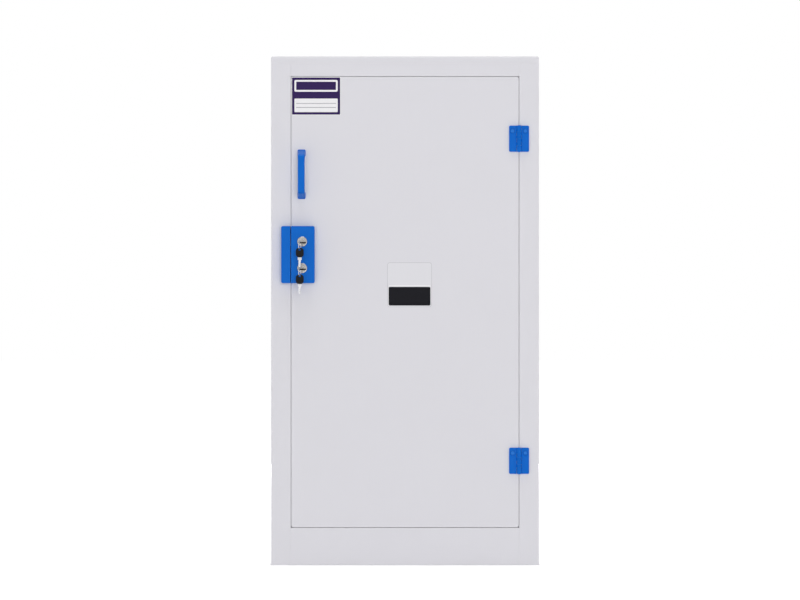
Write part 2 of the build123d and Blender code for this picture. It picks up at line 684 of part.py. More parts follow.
lock_case.part.label = "lock_case"
export_step(lock_case.part, "parts/lock_case.step")

# Keeper on the stile, with one pocket for both cams' tips
with BuildPart() as lock_keeper:
    with BuildSketch(facing(front)):
        with Locations(((keeper_left + keeper_right) / 2, case_middle)):
            Rectangle(KEEPER_FACE, case_high - case_low)
    extrude(amount=CASE_DEPTH)
    fillet(lock_keeper.edges().filter_by(Axis.Y).group_by(Axis.X)[0], CASE_CORNER)
    fillet(lock_keeper.faces().sort_by(Axis.Y)[0].edges(), CASE_EDGE)
    block(
        (pocket_left, keeper_right),
        (front - POCKET_DEPTH, front),
        (lock_lower_z - CAM_WIDTH / 2 - CAVITY_CLEARANCE, lock_upper_z + pocket_rise),
        mode=Mode.SUBTRACT,
    )
    with BuildSketch(facing(front)):
        with Locations(*keeper_screws_at):
            Circle(CASE_SCREW_RADIUS)
    extrude(amount=CASE_SCREW_BITE, mode=Mode.SUBTRACT)
lock_keeper.part.label = "lock_keeper"
export_step(lock_keeper.part, "parts/lock_keeper.step")


def bow_outline():
    """A key's bow in its own plane: the blade leaves at the origin, and the bow lies along local Y."""
    with BuildSketch() as bow:
        with Locations((0, BOW_LENGTH / 2)):
            RectangleRounded(BOW_WIDTH, BOW_LENGTH, BOW_CORNER)
        with Locations((0, slot_along)):
            SlotOverall(BOW_SLOT_WIDTH, BOW_SLOT, mode=Mode.SUBTRACT)
    return bow.sketch


def blade_outline():
    """A key's blade in the same plane: a shoulder, then a narrow blade with a bevelled tip."""
    half_blade = BLADE_WIDTH / 2
    half_shoulder = SHOULDER_WIDTH / 2
    neck = -SHOULDER_LENGTH
    tip = neck - blade_length
    with BuildSketch() as blade:
        with BuildLine():
            Polyline(
                (-half_shoulder, 0),
                (half_shoulder, 0),
                (half_shoulder, neck),
                (half_blade, neck),
                (half_blade, tip + half_blade),
                (0, tip),
                (-half_blade, tip + half_blade),
                (-half_blade, neck),
                (-half_shoulder, neck),
                close=True,
            )
        make_face()
    return blade.sketch


def key(plane):
    """A steel blade and the plastic bow on its end, drawn in the middle of the key's thickness."""
    with BuildPart() as made:
        with BuildSketch(plane):
            add(bow_outline())
        extrude(amount=BOW / 2, both=True)
        outline = [edge for face in made.faces().filter_by(plane) for edge in face.outer_wire().edges()]
        fillet(outline, BOW_EDGE)
        with BuildSketch(plane):
            add(blade_outline())
        extrude(amount=BLADE / 2, both=True)
    return made


# The locks, from the barrel inwards
for level, lock_z in lock_places.items():
    axis_point = (lock_x, lock_z)
    with BuildPart() as barrel:
        with BuildSketch(facing(front - barrel_back)):
            with Locations(axis_point):
                Circle(BARREL_RADIUS)
        extrude(amount=CASE_DEPTH - barrel_back)
        with BuildSketch(facing(front - CASE_DEPTH)):
            with Locations(axis_point):
                Circle(BARREL_FACE_RADIUS)
        extrude(amount=BARREL_FACE)
        fillet(barrel.faces().sort_by(Axis.Y)[0].edges(), BARREL_DOME)
        with BuildSketch(facing(front - barrel_back)):
            with Locations(axis_point):
                Circle(PLUG_RADIUS + PLUG_CLEARANCE)
        extrude(amount=barrel_front - barrel_back, mode=Mode.SUBTRACT)
        with BuildSketch(facing(front - barrel_front)):
            with Locations(axis_point):
                Circle(PLUG_HEAD_RADIUS + PLUG_CLEARANCE)
        extrude(amount=-PLUG_HEAD, mode=Mode.SUBTRACT)
    barrel.part.label = f"lock_barrel_{level}"
    export_step(barrel.part, f"parts/lock_barrel_{level}.step")

    with BuildPart() as plug:
        with BuildSketch(facing(front - cam_back)):
            with Locations(axis_point):
                Rectangle(TAIL, TAIL)
        extrude(amount=barrel_back - cam_back)
        with BuildSketch(facing(front - barrel_back)):
            with Locations(axis_point):
                Circle(PLUG_RADIUS)
        extrude(amount=plug_front - barrel_back)
        with BuildSketch(facing(front - plug_front)):
            with Locations(axis_point):
                Circle(PLUG_HEAD_RADIUS)
        extrude(amount=-PLUG_HEAD - PLUG_PROUD + PLUG_CLEARANCE)
        fillet(plug.faces().sort_by(Axis.Y)[0].edges(), PLUG_PROUD)
        with BuildSketch(facing(front - plug_front)):
            with Locations((lock_x, lock_z - KEY_DROP)):
                Rectangle(BLADE_WIDTH + 2 * KEYWAY_CLEARANCE, BLADE + 2 * KEYWAY_CLEARANCE)
        extrude(amount=-blade_length, mode=Mode.SUBTRACT)
        with BuildSketch(facing(front - cam_back)):
            with Locations(axis_point):
                Circle(CAM_SCREW_RADIUS)
        extrude(amount=CAM_SCREW_BITE, mode=Mode.SUBTRACT)
    plug.part.label = f"lock_plug_{level}"
    export_step(plug.part, f"parts/lock_plug_{level}.step")

    with BuildPart() as cam:
        with BuildSketch(facing(front - cam_back)):
            with Locations(axis_point):
                Circle(cam_reach)
            with Locations((lock_x, lock_z + cam_reach / 2)):
                Rectangle(CAM_WIDTH, cam_reach, mode=Mode.INTERSECT)
            with Locations(axis_point):
                Circle(CAM_HUB_RADIUS)
                Rectangle(TAIL, TAIL, mode=Mode.SUBTRACT)
        extrude(amount=CAM)
    cam.part.label = f"lock_cam_{level}"
    export_step(cam.part, f"parts/lock_cam_{level}.step")

    with BuildPart() as cam_screw:
        with BuildSketch(facing(front - cam_back)):
            with Locations(axis_point):
                Circle(CAM_SCREW_HEAD_RADIUS)
        extrude(amount=-CAM_SCREW_HEAD)
        fillet(cam_screw.faces().sort_by(Axis.Y)[-1].edges(), CAM_SCREW_ROUND)
        with BuildSketch(facing(front - cam_back)):
            with Locations(axis_point):
                Circle(CAM_SCREW_RADIUS)
        extrude(amount=CAM_SCREW_BITE)
        cross_recess([axis_point], facing(front - cam_screw_back), CAM_SCREW_HEAD_RADIUS)
    cam_screw.part.label = f"lock_cam_screw_{level}"
    export_step(cam_screw.part, f"parts/lock_cam_screw_{level}.step")

    # The key in the lock lies level, its bow forwards
    key_z = lock_z - KEY_DROP
    key_plane = Plane(origin=(lock_x, front - bow_start, key_z), x_dir=(-1, 0, 0), z_dir=(0, 0, 1))
    lock_key = key(key_plane)
    lock_key.part.label = f"lock_key_{level}"
    export_step(lock_key.part, f"parts/lock_key_{level}.step")

    # The ring goes down through the bow's slot and up in front of its rim
    towards = (-sin(radians(RING_YAW)), -cos(radians(RING_YAW)))
    ring_x = lock_x - RING_ASIDE + RING_AHEAD * towards[0]
    ring_y = front - bow_start - slot_along + RING_AHEAD * towards[1]
    ring_z = lock_z - ring_drop
    across_ring = (-towards[1], towards[0], 0)
    ring_plane = Plane(origin=(ring_x, ring_y, ring_z), x_dir=(towards[0], towards[1], 0), z_dir=across_ring)
    with BuildPart() as key_ring:
        with Locations(ring_plane):
            Torus(RING_RADIUS, RING_WIRE_RADIUS)
    key_ring.part.label = f"key_ring_{level}"
    export_step(key_ring.part, f"parts/key_ring_{level}.step")

    # The spare key hangs from the ring's lowest point by the rim of its slot
    spare_origin = (ring_x, ring_y, lock_z - spare_drop)
    spare_plane = Plane(origin=spare_origin, x_dir=across_ring, z_dir=(towards[0], towards[1], 0))
    spare_key = key(spare_plane)
    spare_key.part.label = f"spare_key_{level}"
    export_step(spare_key.part, f"parts/spare_key_{level}.step")

# Ring nuts that hold the barrels in the case, from inside
with BuildPart() as lock_nuts:
    with BuildSketch(facing(front - CAVITY_DEPTH)):
        with Locations(*[(lock_x, lock_z) for lock_z in lock_places.values()]):
            RegularPolygon(NUT_RADIUS, 6)
            Circle(BARREL_RADIUS, mode=Mode.SUBTRACT)
    extrude(amount=-NUT)
lock_nuts.part.label = "lock_nuts"
export_step(lock_nuts.part, "parts/lock_nuts.step")
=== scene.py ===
import json
import math

import bmesh
import bpy
from mathutils import Matrix, Vector

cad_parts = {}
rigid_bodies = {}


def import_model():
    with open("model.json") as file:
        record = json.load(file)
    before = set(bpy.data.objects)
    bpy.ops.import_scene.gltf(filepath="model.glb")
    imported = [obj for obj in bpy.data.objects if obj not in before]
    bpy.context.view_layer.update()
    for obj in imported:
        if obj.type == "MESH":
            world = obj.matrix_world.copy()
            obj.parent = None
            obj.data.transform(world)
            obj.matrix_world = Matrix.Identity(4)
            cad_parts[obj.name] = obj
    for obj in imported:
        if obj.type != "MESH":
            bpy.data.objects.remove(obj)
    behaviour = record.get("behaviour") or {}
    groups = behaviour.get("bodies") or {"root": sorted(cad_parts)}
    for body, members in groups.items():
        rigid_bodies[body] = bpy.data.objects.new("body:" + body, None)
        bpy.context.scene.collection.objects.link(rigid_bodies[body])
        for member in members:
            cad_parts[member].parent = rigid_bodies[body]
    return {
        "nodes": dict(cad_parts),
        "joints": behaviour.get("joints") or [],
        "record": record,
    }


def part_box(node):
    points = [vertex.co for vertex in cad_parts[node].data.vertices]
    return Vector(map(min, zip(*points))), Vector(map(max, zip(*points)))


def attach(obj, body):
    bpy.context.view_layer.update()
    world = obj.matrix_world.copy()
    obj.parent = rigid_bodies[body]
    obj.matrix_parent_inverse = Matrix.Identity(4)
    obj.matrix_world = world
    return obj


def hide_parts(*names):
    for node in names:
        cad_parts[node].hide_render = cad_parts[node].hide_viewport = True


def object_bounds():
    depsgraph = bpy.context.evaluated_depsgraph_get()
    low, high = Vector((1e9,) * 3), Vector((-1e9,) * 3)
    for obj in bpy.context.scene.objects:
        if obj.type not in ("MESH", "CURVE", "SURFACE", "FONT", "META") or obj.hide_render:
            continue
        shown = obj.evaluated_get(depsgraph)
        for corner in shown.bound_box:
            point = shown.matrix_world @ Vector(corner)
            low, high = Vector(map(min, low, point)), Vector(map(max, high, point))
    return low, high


for leftover in list(bpy.data.objects):
    bpy.data.objects.remove(leftover)
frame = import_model()
cad_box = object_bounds()
nodes = frame["nodes"]
joints = {joint["name"]: joint for joint in frame["joints"]}
body_of = {node: body for body, group in frame["record"]["behaviour"]["bodies"].items() for node in group}

MM = 0.001
LEVELS = ("upper", "lower")
SAME_POINT = 0.001 * MM  # points this near are merged
ON_PLANE = 0.01 * MM  # a point this near a plane lies on it

# ---------------------------------------------------------------- sizes taken from the frame
cabinet_high = cad_box[1]
door_low, door_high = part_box("door_panel")
side_low, side_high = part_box("side_panel_right")
back_low, back_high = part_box("back_panel")
floor_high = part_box("floor_panel")[1]
stile_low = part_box("stile_right")[0]
inner_x = side_low.x
inner_back = back_low.y
frame_front = stile_low.y
frame_back = side_low.y
under_top = side_high.z
door_face = door_low.y


# ---------------------------------------------------------------- node graph helpers
def feed(tree, socket, value):
    """Links another node's socket to this one, or sets its value."""
    if isinstance(value, bpy.types.NodeSocket):
        tree.links.new(value, socket)
    else:
        socket.default_value = value


def add(tree, kind, inputs=None, **settings):
    """A node in a tree, with its settings and its inputs: a value, or another node's socket to link."""
    node = tree.nodes.new(kind)
    for name, value in settings.items():
        setattr(node, name, value)
    for key, value in (inputs or {}).items():
        feed(tree, node.inputs[key], value)
    return node


def maths(tree, operation, *values, clamp=False):
    """An operation on numbers, or on sockets that give them."""
    inputs = dict(enumerate(values))
    return add(tree, "ShaderNodeMath", inputs, operation=operation, use_clamp=clamp).outputs[0]


def vector_maths(tree, operation, *values):
    """An operation on vectors. Its result is a vector, and for a length it is a number."""
    node = add(tree, "ShaderNodeVectorMath", dict(enumerate(values)), operation=operation)
    return node.outputs["Value" if operation == "LENGTH" else "Vector"]


def shader_group(name, inputs, outputs):
    """An empty shader group with its sockets: (name, kind, default) in, (name, kind) out."""
    tree = bpy.data.node_groups.new(name, "ShaderNodeTree")
    for label, kind, default in inputs:
        socket = tree.interface.new_socket(label, in_out="INPUT", socket_type=kind)
        if default is not None:
            socket.default_value = default
    for label, kind in outputs:
        tree.interface.new_socket(label, in_out="OUTPUT", socket_type=kind)
    entry = tree.nodes.new("NodeGroupInput")
    leave = tree.nodes.new("NodeGroupOutput")
    return tree, entry.outputs, leave.inputs


def noise(tree, vector, scale, detail=3.0, roughness=0.5):
    """A noise over a vector, finer for a larger scale."""
    inputs = {"Vector": vector, "Scale": scale, "Detail": detail, "Roughness": roughness}
    return add(tree, "ShaderNodeTexNoise", inputs).outputs[0]


def stretched(tree, vector, scale):
    """A vector with each axis scaled, so that a noise on it runs in streaks."""
    return add(tree, "ShaderNodeMapping", {"Vector": vector, "Scale": scale}).outputs[0]


def spread(tree, value, low, high, to_low=0.0, to_high=1.0):
    """A value's range from low to high, turned smoothly into another range."""
    inputs = {0: value, 1: low, 2: high, 3: to_low, 4: to_high}
    return add(tree, "ShaderNodeMapRange", inputs, interpolation_type="SMOOTHSTEP").outputs[0]


# ---------------------------------------------------------------- shared effects
def build_sheet_grain():
    """Pressed plastic sheet: cloudy tone, faint pulled marks of the press, and a fine satin grain."""
    tree, given, wanted = shader_group(
        "sheet_grain",
        (
            ("Vector", "NodeSocketVector", None),
            ("Cloud Size", "NodeSocketFloat", 7.0),
            ("Cloud", "NodeSocketFloat", 0.03),
            ("Satin", "NodeSocketFloat", 0.36),
            ("Satin Spread", "NodeSocketFloat", 0.08),
        ),
        (("Tone", "NodeSocketFloat"), ("Roughness", "NodeSocketFloat"), ("Height", "NodeSocketFloat")),
    )
    clouds = noise(tree, given["Vector"], given["Cloud Size"], detail=2.0)
    streaks = noise(tree, stretched(tree, given["Vector"], (260.0, 260.0, 9.0)), scale=1.0, detail=2.0)
    grain = noise(tree, given["Vector"], scale=900.0, detail=2.0, roughness=0.6)
    both = maths(tree, "ADD", maths(tree, "MULTIPLY", clouds, 0.7), maths(tree, "MULTIPLY", streaks, 0.3))
    centred = maths(tree, "SUBTRACT", both, 0.5)
    tree.links.new(maths(tree, "MULTIPLY_ADD", centred, given["Cloud"], 1.0), wanted["Tone"])
    shine = maths(tree, "MULTIPLY_ADD", centred, given["Satin Spread"], given["Satin"])
    tree.links.new(maths(tree, "MULTIPLY_ADD", grain, 0.05, shine), wanted["Roughness"])
    tree.links.new(maths(tree, "MULTIPLY_ADD", streaks, 0.35, grain), wanted["Height"])
    return tree


def build_edge_rub_and_highlight():
    """How near a point lies to an edge of a board, from the board's lowest and highest corners. Its mask
    lightens the edges: partly scraped wear, partly a painted highlight.
    """
    tree, given, wanted = shader_group(
        "edge_rub",
        (
            ("Vector", "NodeSocketVector", None),
            ("Low", "NodeSocketVector", None),
            ("High", "NodeSocketVector", None),
            ("Reach", "NodeSocketFloat", 2.0 * MM),
        ),
        (("Mask", "NodeSocketFloat"),),
    )
    above_low = vector_maths(tree, "SUBTRACT", given["Vector"], given["Low"])
    below_high = vector_maths(tree, "SUBTRACT", given["High"], given["Vector"])
    nearest = vector_maths(tree, "MINIMUM", above_low, below_high)
    split = add(tree, "ShaderNodeSeparateXYZ", {0: nearest}).outputs
    total = maths(tree, "ADD", maths(tree, "ADD", split[0], split[1]), split[2])
    least = maths(tree, "MINIMUM", maths(tree, "MINIMUM", split[0], split[1]), split[2])
    most = maths(tree, "MAXIMUM", maths(tree, "MAXIMUM", split[0], split[1]), split[2])
    # of the distances to a face along the three axes, the second is small only near an edge
    second = maths(tree, "SUBTRACT", maths(tree, "SUBTRACT", total, least), most)
    ragged = maths(tree, "MULTIPLY_ADD", noise(tree, given["Vector"], scale=60.0), 1.2, 0.4)
    share = maths(tree, "DIVIDE", second, maths(tree, "MULTIPLY", given["Reach"], ragged))
    tree.links.new(spread(tree, share, 0.0, 1.0, 1.0, 0.0), wanted["Mask"])
    return tree


def build_handling_marks():
    """Thin scuffs that run one way, thickest where a hand or a tool goes."""
    tree, given, wanted = shader_group(
        "handling_marks",
        (
            ("Vector", "NodeSocketVector", None),
            ("Along", "NodeSocketVector", (900.0, 900.0, 25.0)),
            ("Amount", "NodeSocketFloat", 0.3),
        ),
        (("Mask", "NodeSocketFloat"),),
    )
    lines = noise(tree, stretched(tree, given["Vector"], given["Along"]), scale=1.0, detail=1.0)
    patches = noise(tree, given["Vector"], scale=35.0, detail=2.0)
    scuffs = maths(tree, "MULTIPLY", spread(tree, lines, 0.58, 0.7), spread(tree, patches, 0.45, 0.7))
    tree.links.new(maths(tree, "MULTIPLY", scuffs, given["Amount"]), wanted["Mask"])
    return tree


def build_turned_rings():
    """Rings left by a lathe around an axis that runs front to back."""
    tree, given, wanted = shader_group(
        "turned_rings",
        (
            ("Vector", "NodeSocketVector", None),
            ("Centre", "NodeSocketVector", None),
            ("Pitch", "NodeSocketFloat", 0.4 * MM),
        ),
        (("Height", "NodeSocketFloat"), ("Roughness", "NodeSocketFloat")),
    )
    offset = vector_maths(tree, "SUBTRACT", given["Vector"], given["Centre"])
    flat = vector_maths(tree, "MULTIPLY", offset, (1.0, 0.0, 1.0))
    radius = vector_maths(tree, "LENGTH", flat)
    turns = maths(tree, "DIVIDE", radius, given["Pitch"])
    wave = maths(tree, "SINE", maths(tree, "MULTIPLY", turns, 2 * math.pi))
    uneven = noise(tree, given["Vector"], scale=400.0, detail=2.0)
    tree.links.new(maths(tree, "MULTIPLY_ADD", uneven, 0.6, wave), wanted["Height"])
    tree.links.new(maths(tree, "MULTIPLY_ADD", uneven, 0.16, 0.12), wanted["Roughness"])
    return tree


def build_settled_dust():
    """A thin film where a face looks up, broken by a fine noise."""
    tree, given, wanted = shader_group(
        "settled_dust",
        (("Vector", "NodeSocketVector", None), ("Amount", "NodeSocketFloat", 0.05)),
        (("Mask", "NodeSocketFloat"),),
    )
    normal = add(tree, "ShaderNodeNewGeometry").outputs["Normal"]
    up = add(tree, "ShaderNodeSeparateXYZ", {0: normal}).outputs[2]
    patches = spread(tree, noise(tree, given["Vector"], scale=18.0, detail=5.0, roughness=0.65), 0.35, 0.7)
    film = maths(tree, "MULTIPLY", spread(tree, up, 0.6, 1.0), patches)
    tree.links.new(maths(tree, "MULTIPLY", film, given["Amount"]), wanted["Mask"])
    return tree


sheet_grain = build_sheet_grain()
edge_rub = build_edge_rub_and_highlight()
handling_marks = build_handling_marks()
turned_rings = build_turned_rings()
settled_dust = build_settled_dust()


# ---------------------------------------------------------------- materials
def blank_material(name, **settings):
    """A material with its shader and output. Settings are constants on the shader's own sockets."""
    material = bpy.data.materials.new(name)
    material.use_nodes = True
    tree = material.node_tree
    tree.nodes.clear()
    shader = add(tree, "ShaderNodeBsdfPrincipled")
    for label, value in settings.items():
        shader.inputs[label.replace("_", " ")].default_value = value
    add(tree, "ShaderNodeOutputMaterial", {"Surface": shader.outputs[0]})
    place = add(tree, "ShaderNodeTexCoord").outputs["Object"]
    return material, tree, shader.inputs, place


def use_group(tree, group, **inputs):
    """A shared effect placed in a material, with this material's values."""
    node = add(tree, "ShaderNodeGroup", node_tree=group)
    for label, value in inputs.items():
        feed(tree, node.inputs[label.replace("_", " ")], value)
    return node.outputs


# where a Mix node keeps its two colours and its mixed colour
MIX_COLOURS = (6, 7)
MIX_RESULT = 2


def blend_colour(tree, share, first, second):
    """From the first colour to the second. Each is a colour or another node's socket."""
    node = add(tree, "ShaderNodeMix", {"Factor": share}, data_type="RGBA")
    for number, colour in zip(MIX_COLOURS, (first, second)):
        linked = isinstance(colour, bpy.types.NodeSocket)
        feed(tree, node.inputs[number], colour if linked else (*colour, 1.0))
    return node.outputs[MIX_RESULT]


def toned(tree, colour, tone):
    """A colour made lighter or darker by a tone near 1."""
    node = add(tree, "ShaderNodeVectorMath", {0: colour, 3: tone}, operation="SCALE")
    return node.outputs[0]


def bump(tree, wanted, height, distance, strength):
    """Relief from a height of 0 to 1, at a real distance in metres."""
    node = add(tree, "ShaderNodeBump", {"Height": height, "Distance": distance, "Strength": strength})
    tree.links.new(node.outputs[0], wanted["Normal"])


GREY = (0.690, 0.683, 0.722)
# lighter edge tone: partly scraped wear, partly a painted highlight
GREY_SCRAPED_AND_HIGHLIGHT = (0.735, 0.730, 0.765)
DUST = (0.50, 0.49, 0.47)
BLUE = (0.0030, 0.127, 0.55)
# lighter tone for scuffs, which are wear, and for edges, partly a painted highlight
BLUE_SCUFFED_AND_HIGHLIGHT = (0.04, 0.22, 0.66)
# a lighter blue for the whole hinge screws: a painted highlight for their domed heads
BLUE_SCREW_PAINTED_HIGHLIGHT = (0.030, 0.215, 0.70)
STEEL = (0.56, 0.545, 0.53)
STEEL_DULL = (0.31, 0.295, 0.28)
STEEL_BRIGHT = (0.68, 0.68, 0.70)
BLACK = (0.0035, 0.0036, 0.0042)
BLACK_WORN = (0.009, 0.009, 0.010)
BEAD_GREY = (0.66, 0.655, 0.69)
BEAD_PALE = (0.72, 0.715, 0.75)

SHEET_IOR = 1.49
TRIM_IOR = 1.45  # the card films and the key bows
FACE_PITCH = 0.5 * MM  # between the lathe rings on a lock's face
PLUG_PITCH = 0.3 * MM


def grey_sheet(node):
    """The grey boards: pressed grain, lighter edges that are partly scraped wear and partly a painted
    highlight, a little dust on top.
    """
    name = f"grey_sheet_{node}"
    material, tree, shader, place = blank_material(name, Specular_IOR_Level=0.3, IOR=SHEET_IOR)
    low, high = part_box(node)
    grain = use_group(tree, sheet_grain, Vector=place, Cloud=0.03, Satin=0.40)
    rubbed_and_highlit = use_group(tree, edge_rub, Vector=place, Low=low, High=high)["Mask"]
    film = use_group(tree, settled_dust, Vector=place, Amount=0.04)["Mask"]
    # the lighter edges are partly scraped wear, partly a painted highlight
    edged_and_highlit = blend_colour(tree, maths(tree, "MULTIPLY", rubbed_and_highlit, 0.25), GREY, GREY_SCRAPED_AND_HIGHLIGHT)
    dusted = blend_colour(tree, film, edged_and_highlit, DUST)
    tree.links.new(toned(tree, dusted, grain["Tone"]), shader["Base Color"])
    dull = maths(tree, "MULTIPLY_ADD", rubbed_and_highlit, 0.10, grain["Roughness"])
    tree.links.new(maths(tree, "MULTIPLY_ADD", film, 2.0, dull), shader["Roughness"])
    bump(tree, shader, grain["Height"], distance=0.03 * MM, strength=0.35)
    return material


def blue_block(node, plain):
    """The blue fittings, with scuffs from hands and keys, and lighter edges that are partly scraped wear and
    partly a painted highlight.
    """
    name = f"blue_block_{node}"
    material, tree, shader, place = blank_material(name, Specular_IOR_Level=0.12, IOR=SHEET_IOR)
    low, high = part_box(node)
    grain = use_group(tree, sheet_grain, Vector=place, Cloud=0.12, Satin=0.30, Cloud_Size=25.0)
    rubbed_and_highlit = use_group(tree, edge_rub, Vector=place, Low=low, High=high, Reach=1.2 * MM)["Mask"]
    marks = use_group(tree, handling_marks, Vector=place, Amount=0.25)["Mask"]
    # lighter edges are partly scraped wear, partly a painted highlight; the handling scuffs are wear
    worn_and_highlit = maths(tree, "MAXIMUM", maths(tree, "MULTIPLY", rubbed_and_highlit, 0.22), marks, clamp=True)
    colour = blend_colour(tree, worn_and_highlit, plain, BLUE_SCUFFED_AND_HIGHLIGHT)
    tree.links.new(toned(tree, colour, grain["Tone"]), shader["Base Color"])
    tree.links.new(maths(tree, "MULTIPLY_ADD", worn_and_highlit, 0.15, grain["Roughness"]), shader["Roughness"])
    bump(tree, shader, grain["Height"], distance=0.03 * MM, strength=0.35)
    return material


def turned_steel(name, centre, pitch):
    """Plated steel with lathe rings around a lock's axis."""
    material, tree, shader, place = blank_material(name, Metallic=1.0)
    rings = use_group(tree, turned_rings, Vector=place, Centre=centre, Pitch=pitch)
    cloudy = noise(tree, place, scale=220.0, detail=3.0)
    tree.links.new(blend_colour(tree, cloudy, STEEL, STEEL_DULL), shader["Base Color"])
    tree.links.new(rings["Roughness"], shader["Roughness"])
    bump(tree, shader, rings["Height"], distance=0.02 * MM, strength=0.5)
    return material


def drawn_steel(name, streaks, colour=STEEL, dull=STEEL_DULL, *, satin):
    """Steel with fine streaks along one axis: streaks scales the noise on each axis."""
    material, tree, shader, place = blank_material(name, Metallic=1.0)
    lines = noise(tree, stretched(tree, place, streaks), scale=1.0, detail=3.0)
    patches = noise(tree, place, scale=150.0, detail=3.0)
    tree.links.new(blend_colour(tree, patches, colour, dull), shader["Base Color"])
    tree.links.new(maths(tree, "MULTIPLY_ADD", lines, 0.2, satin), shader["Roughness"])
    bump(tree, shader, lines, distance=0.02 * MM, strength=0.4)
    return material


def black_bow_plastic():
    """The moulded black of the key bows, with a fine grain."""
    material, tree, shader, place = blank_material("black_bow_plastic", Specular_IOR_Level=0.2, IOR=TRIM_IOR)
    specks = noise(tree, place, scale=2600.0, detail=2.0)
    patches = noise(tree, place, scale=160.0, detail=2.0)
    tree.links.new(blend_colour(tree, patches, BLACK, BLACK_WORN), shader["Base Color"])
    tree.links.new(maths(tree, "MULTIPLY_ADD", specks, 0.2, 0.42), shader["Roughness"])
    bump(tree, shader, specks, distance=0.04 * MM, strength=0.5)
    return material


def vinyl(name, colour):
    """Printed adhesive film: an even colour with a faint print grain and small waves of the film."""
    material, tree, shader, place = blank_material(name, Specular_IOR_Level=0.12, IOR=TRIM_IOR)
    dots = noise(tree, place, scale=1500.0, detail=1.0)
    waves = noise(tree, place, scale=40.0, detail=2.0)
    darker = tuple(0.95 * channel for channel in colour)
    tree.links.new(blend_colour(tree, dots, darker, colour), shader["Base Color"])
    tree.links.new(maths(tree, "MULTIPLY_ADD", dots, 0.1, 0.32), shader["Roughness"])
    bump(tree, shader, waves, distance=0.2 * MM, strength=0.15)
    return material


# ---------------------------------------------------------------- carried-over pieces
def dress(node, material):
    """Gives a carried-over piece its finish."""
    slots = nodes[node].data.materials
    slots.clear()
    slots.append(material)


NOT_GREY = ("hinge", "door_handle", "handle", "lock", "key", "spare")
GREY_NODES = [name for name in nodes if not name.startswith(NOT_GREY)]
BLUE_NODES = ["door_handle", "lock_case", "lock_keeper", "hinge_screws_frame", "hinge_screws_door"]
for level in LEVELS:
    BLUE_NODES += [f"hinge_frame_leaf_{level}", f"hinge_door_leaf_{level}", f"hinge_pin_{level}"]

for node in GREY_NODES:
    dress(node, grey_sheet(node))
for node in BLUE_NODES:
    # the hinge screws take the lighter blue, a painted highlight for their domed heads
    dress(node, blue_block(node, BLUE_SCREW_PAINTED_HIGHLIGHT if node.startswith("hinge_screws") else BLUE))


def lock_axis(level):
    """A point on the axis that a lock turns around."""
    return Vector(joints[f"lock_turn_{level}"]["pos_m"])


screw_finish = drawn_steel("screw_steel_finish", (1800.0, 1800.0, 1800.0), satin=0.28)
for node in ("handle_screws", "lock_case_screws", "lock_keeper_screws"):
    dress(node, screw_finish)
dress("lock_nuts", turned_steel("ring_nut_finish", lock_axis("upper"), FACE_PITCH))
for level in LEVELS:
    dress(f"lock_barrel_{level}", turned_steel(f"lock_face_{level}", lock_axis(level), FACE_PITCH))
    dress(f"lock_plug_{level}", turned_steel(f"plug_face_{level}", lock_axis(level), PLUG_PITCH))
    dress(f"lock_cam_{level}", drawn_steel(f"cam_steel_{level}", (90.0, 900.0, 900.0), satin=0.3))
    dress(f"lock_cam_screw_{level}", screw_finish)
    wire = drawn_steel(f"ring_wire_{level}", (900.0, 900.0, 120.0), STEEL_BRIGHT, STEEL, satin=0.14)
    dress(f"key_ring_{level}", wire)


# ---------------------------------------------------------------- mesh helpers
def finished(name, mesh, body):
    """A piece of the scene that rides on a body."""
    piece = bpy.data.objects.new(name, mesh)
    bpy.context.scene.collection.objects.link(piece)
    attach(piece, body)
    return piece


def rounded_loop(width, height, radius, steps=6):
    """Points round a rounded rectangle about the origin, anticlockwise."""
    points = []
    for quarter, (sx, sy) in enumerate(((1, 1), (-1, 1), (-1, -1), (1, -1))):
        cx = sx * (width / 2 - radius)
        cy = sy * (height / 2 - radius)
        for step in range(steps + 1):
            angle = math.pi / 2 * (quarter + step / steps)
            points.append((cx + radius * math.cos(angle), cy + radius * math.sin(angle)))
    return points


def shape_mesh(name, loops, half_thickness, bevel, place):
    """A flat plate with softened rims, from an outline and its holes, put in place by a matrix."""
    curve = bpy.data.curves.new(name, "CURVE")
    curve.dimensions = "2D"
    curve.fill_mode = "BOTH"
    curve.extrude = half_thickness - bevel
    curve.bevel_depth = bevel
    curve.bevel_resolution = 2
    curve.offset = -bevel
    for loop in loops:
        spline = curve.splines.new("POLY")
        spline.points.add(len(loop) - 1)
        for point, (x, y) in zip(spline.points, loop):
            point.co = (x, y, 0.0, 1.0)
        spline.use_cyclic_u = True
    maker = bpy.data.objects.new(name, curve)
    bpy.context.scene.collection.objects.link(maker)
    mesh = bpy.data.meshes.new_from_object(maker.evaluated_get(bpy.context.evaluated_depsgraph_get()))
    bpy.data.objects.remove(maker)
    mesh.transform(place)
    merged = bmesh.new()
    merged.from_mesh(mesh)
    bmesh.ops.remove_doubles(merged, verts=merged.verts, dist=SAME_POINT)
    bmesh.ops.recalc_face_normals(merged, faces=merged.faces)
    merged.to_mesh(mesh)
    merged.free()
    return mesh


def join_meshes(name, parts):
    """One mesh from several, each with its own material."""
    whole = bmesh.new()
    materials = []
    for mesh, material in parts:
        if material not in materials:
            materials.append(material)
        start = len(whole.faces)
        whole.from_mesh(mesh)
        whole.faces.ensure_lookup_table()
        for face in whole.faces[start:]:
            face.material_index = materials.index(material)
    made = bpy.data.meshes.new(name)
    whole.to_mesh(made)
    whole.free()
    for material in materials:
        made.materials.append(material)
    return made


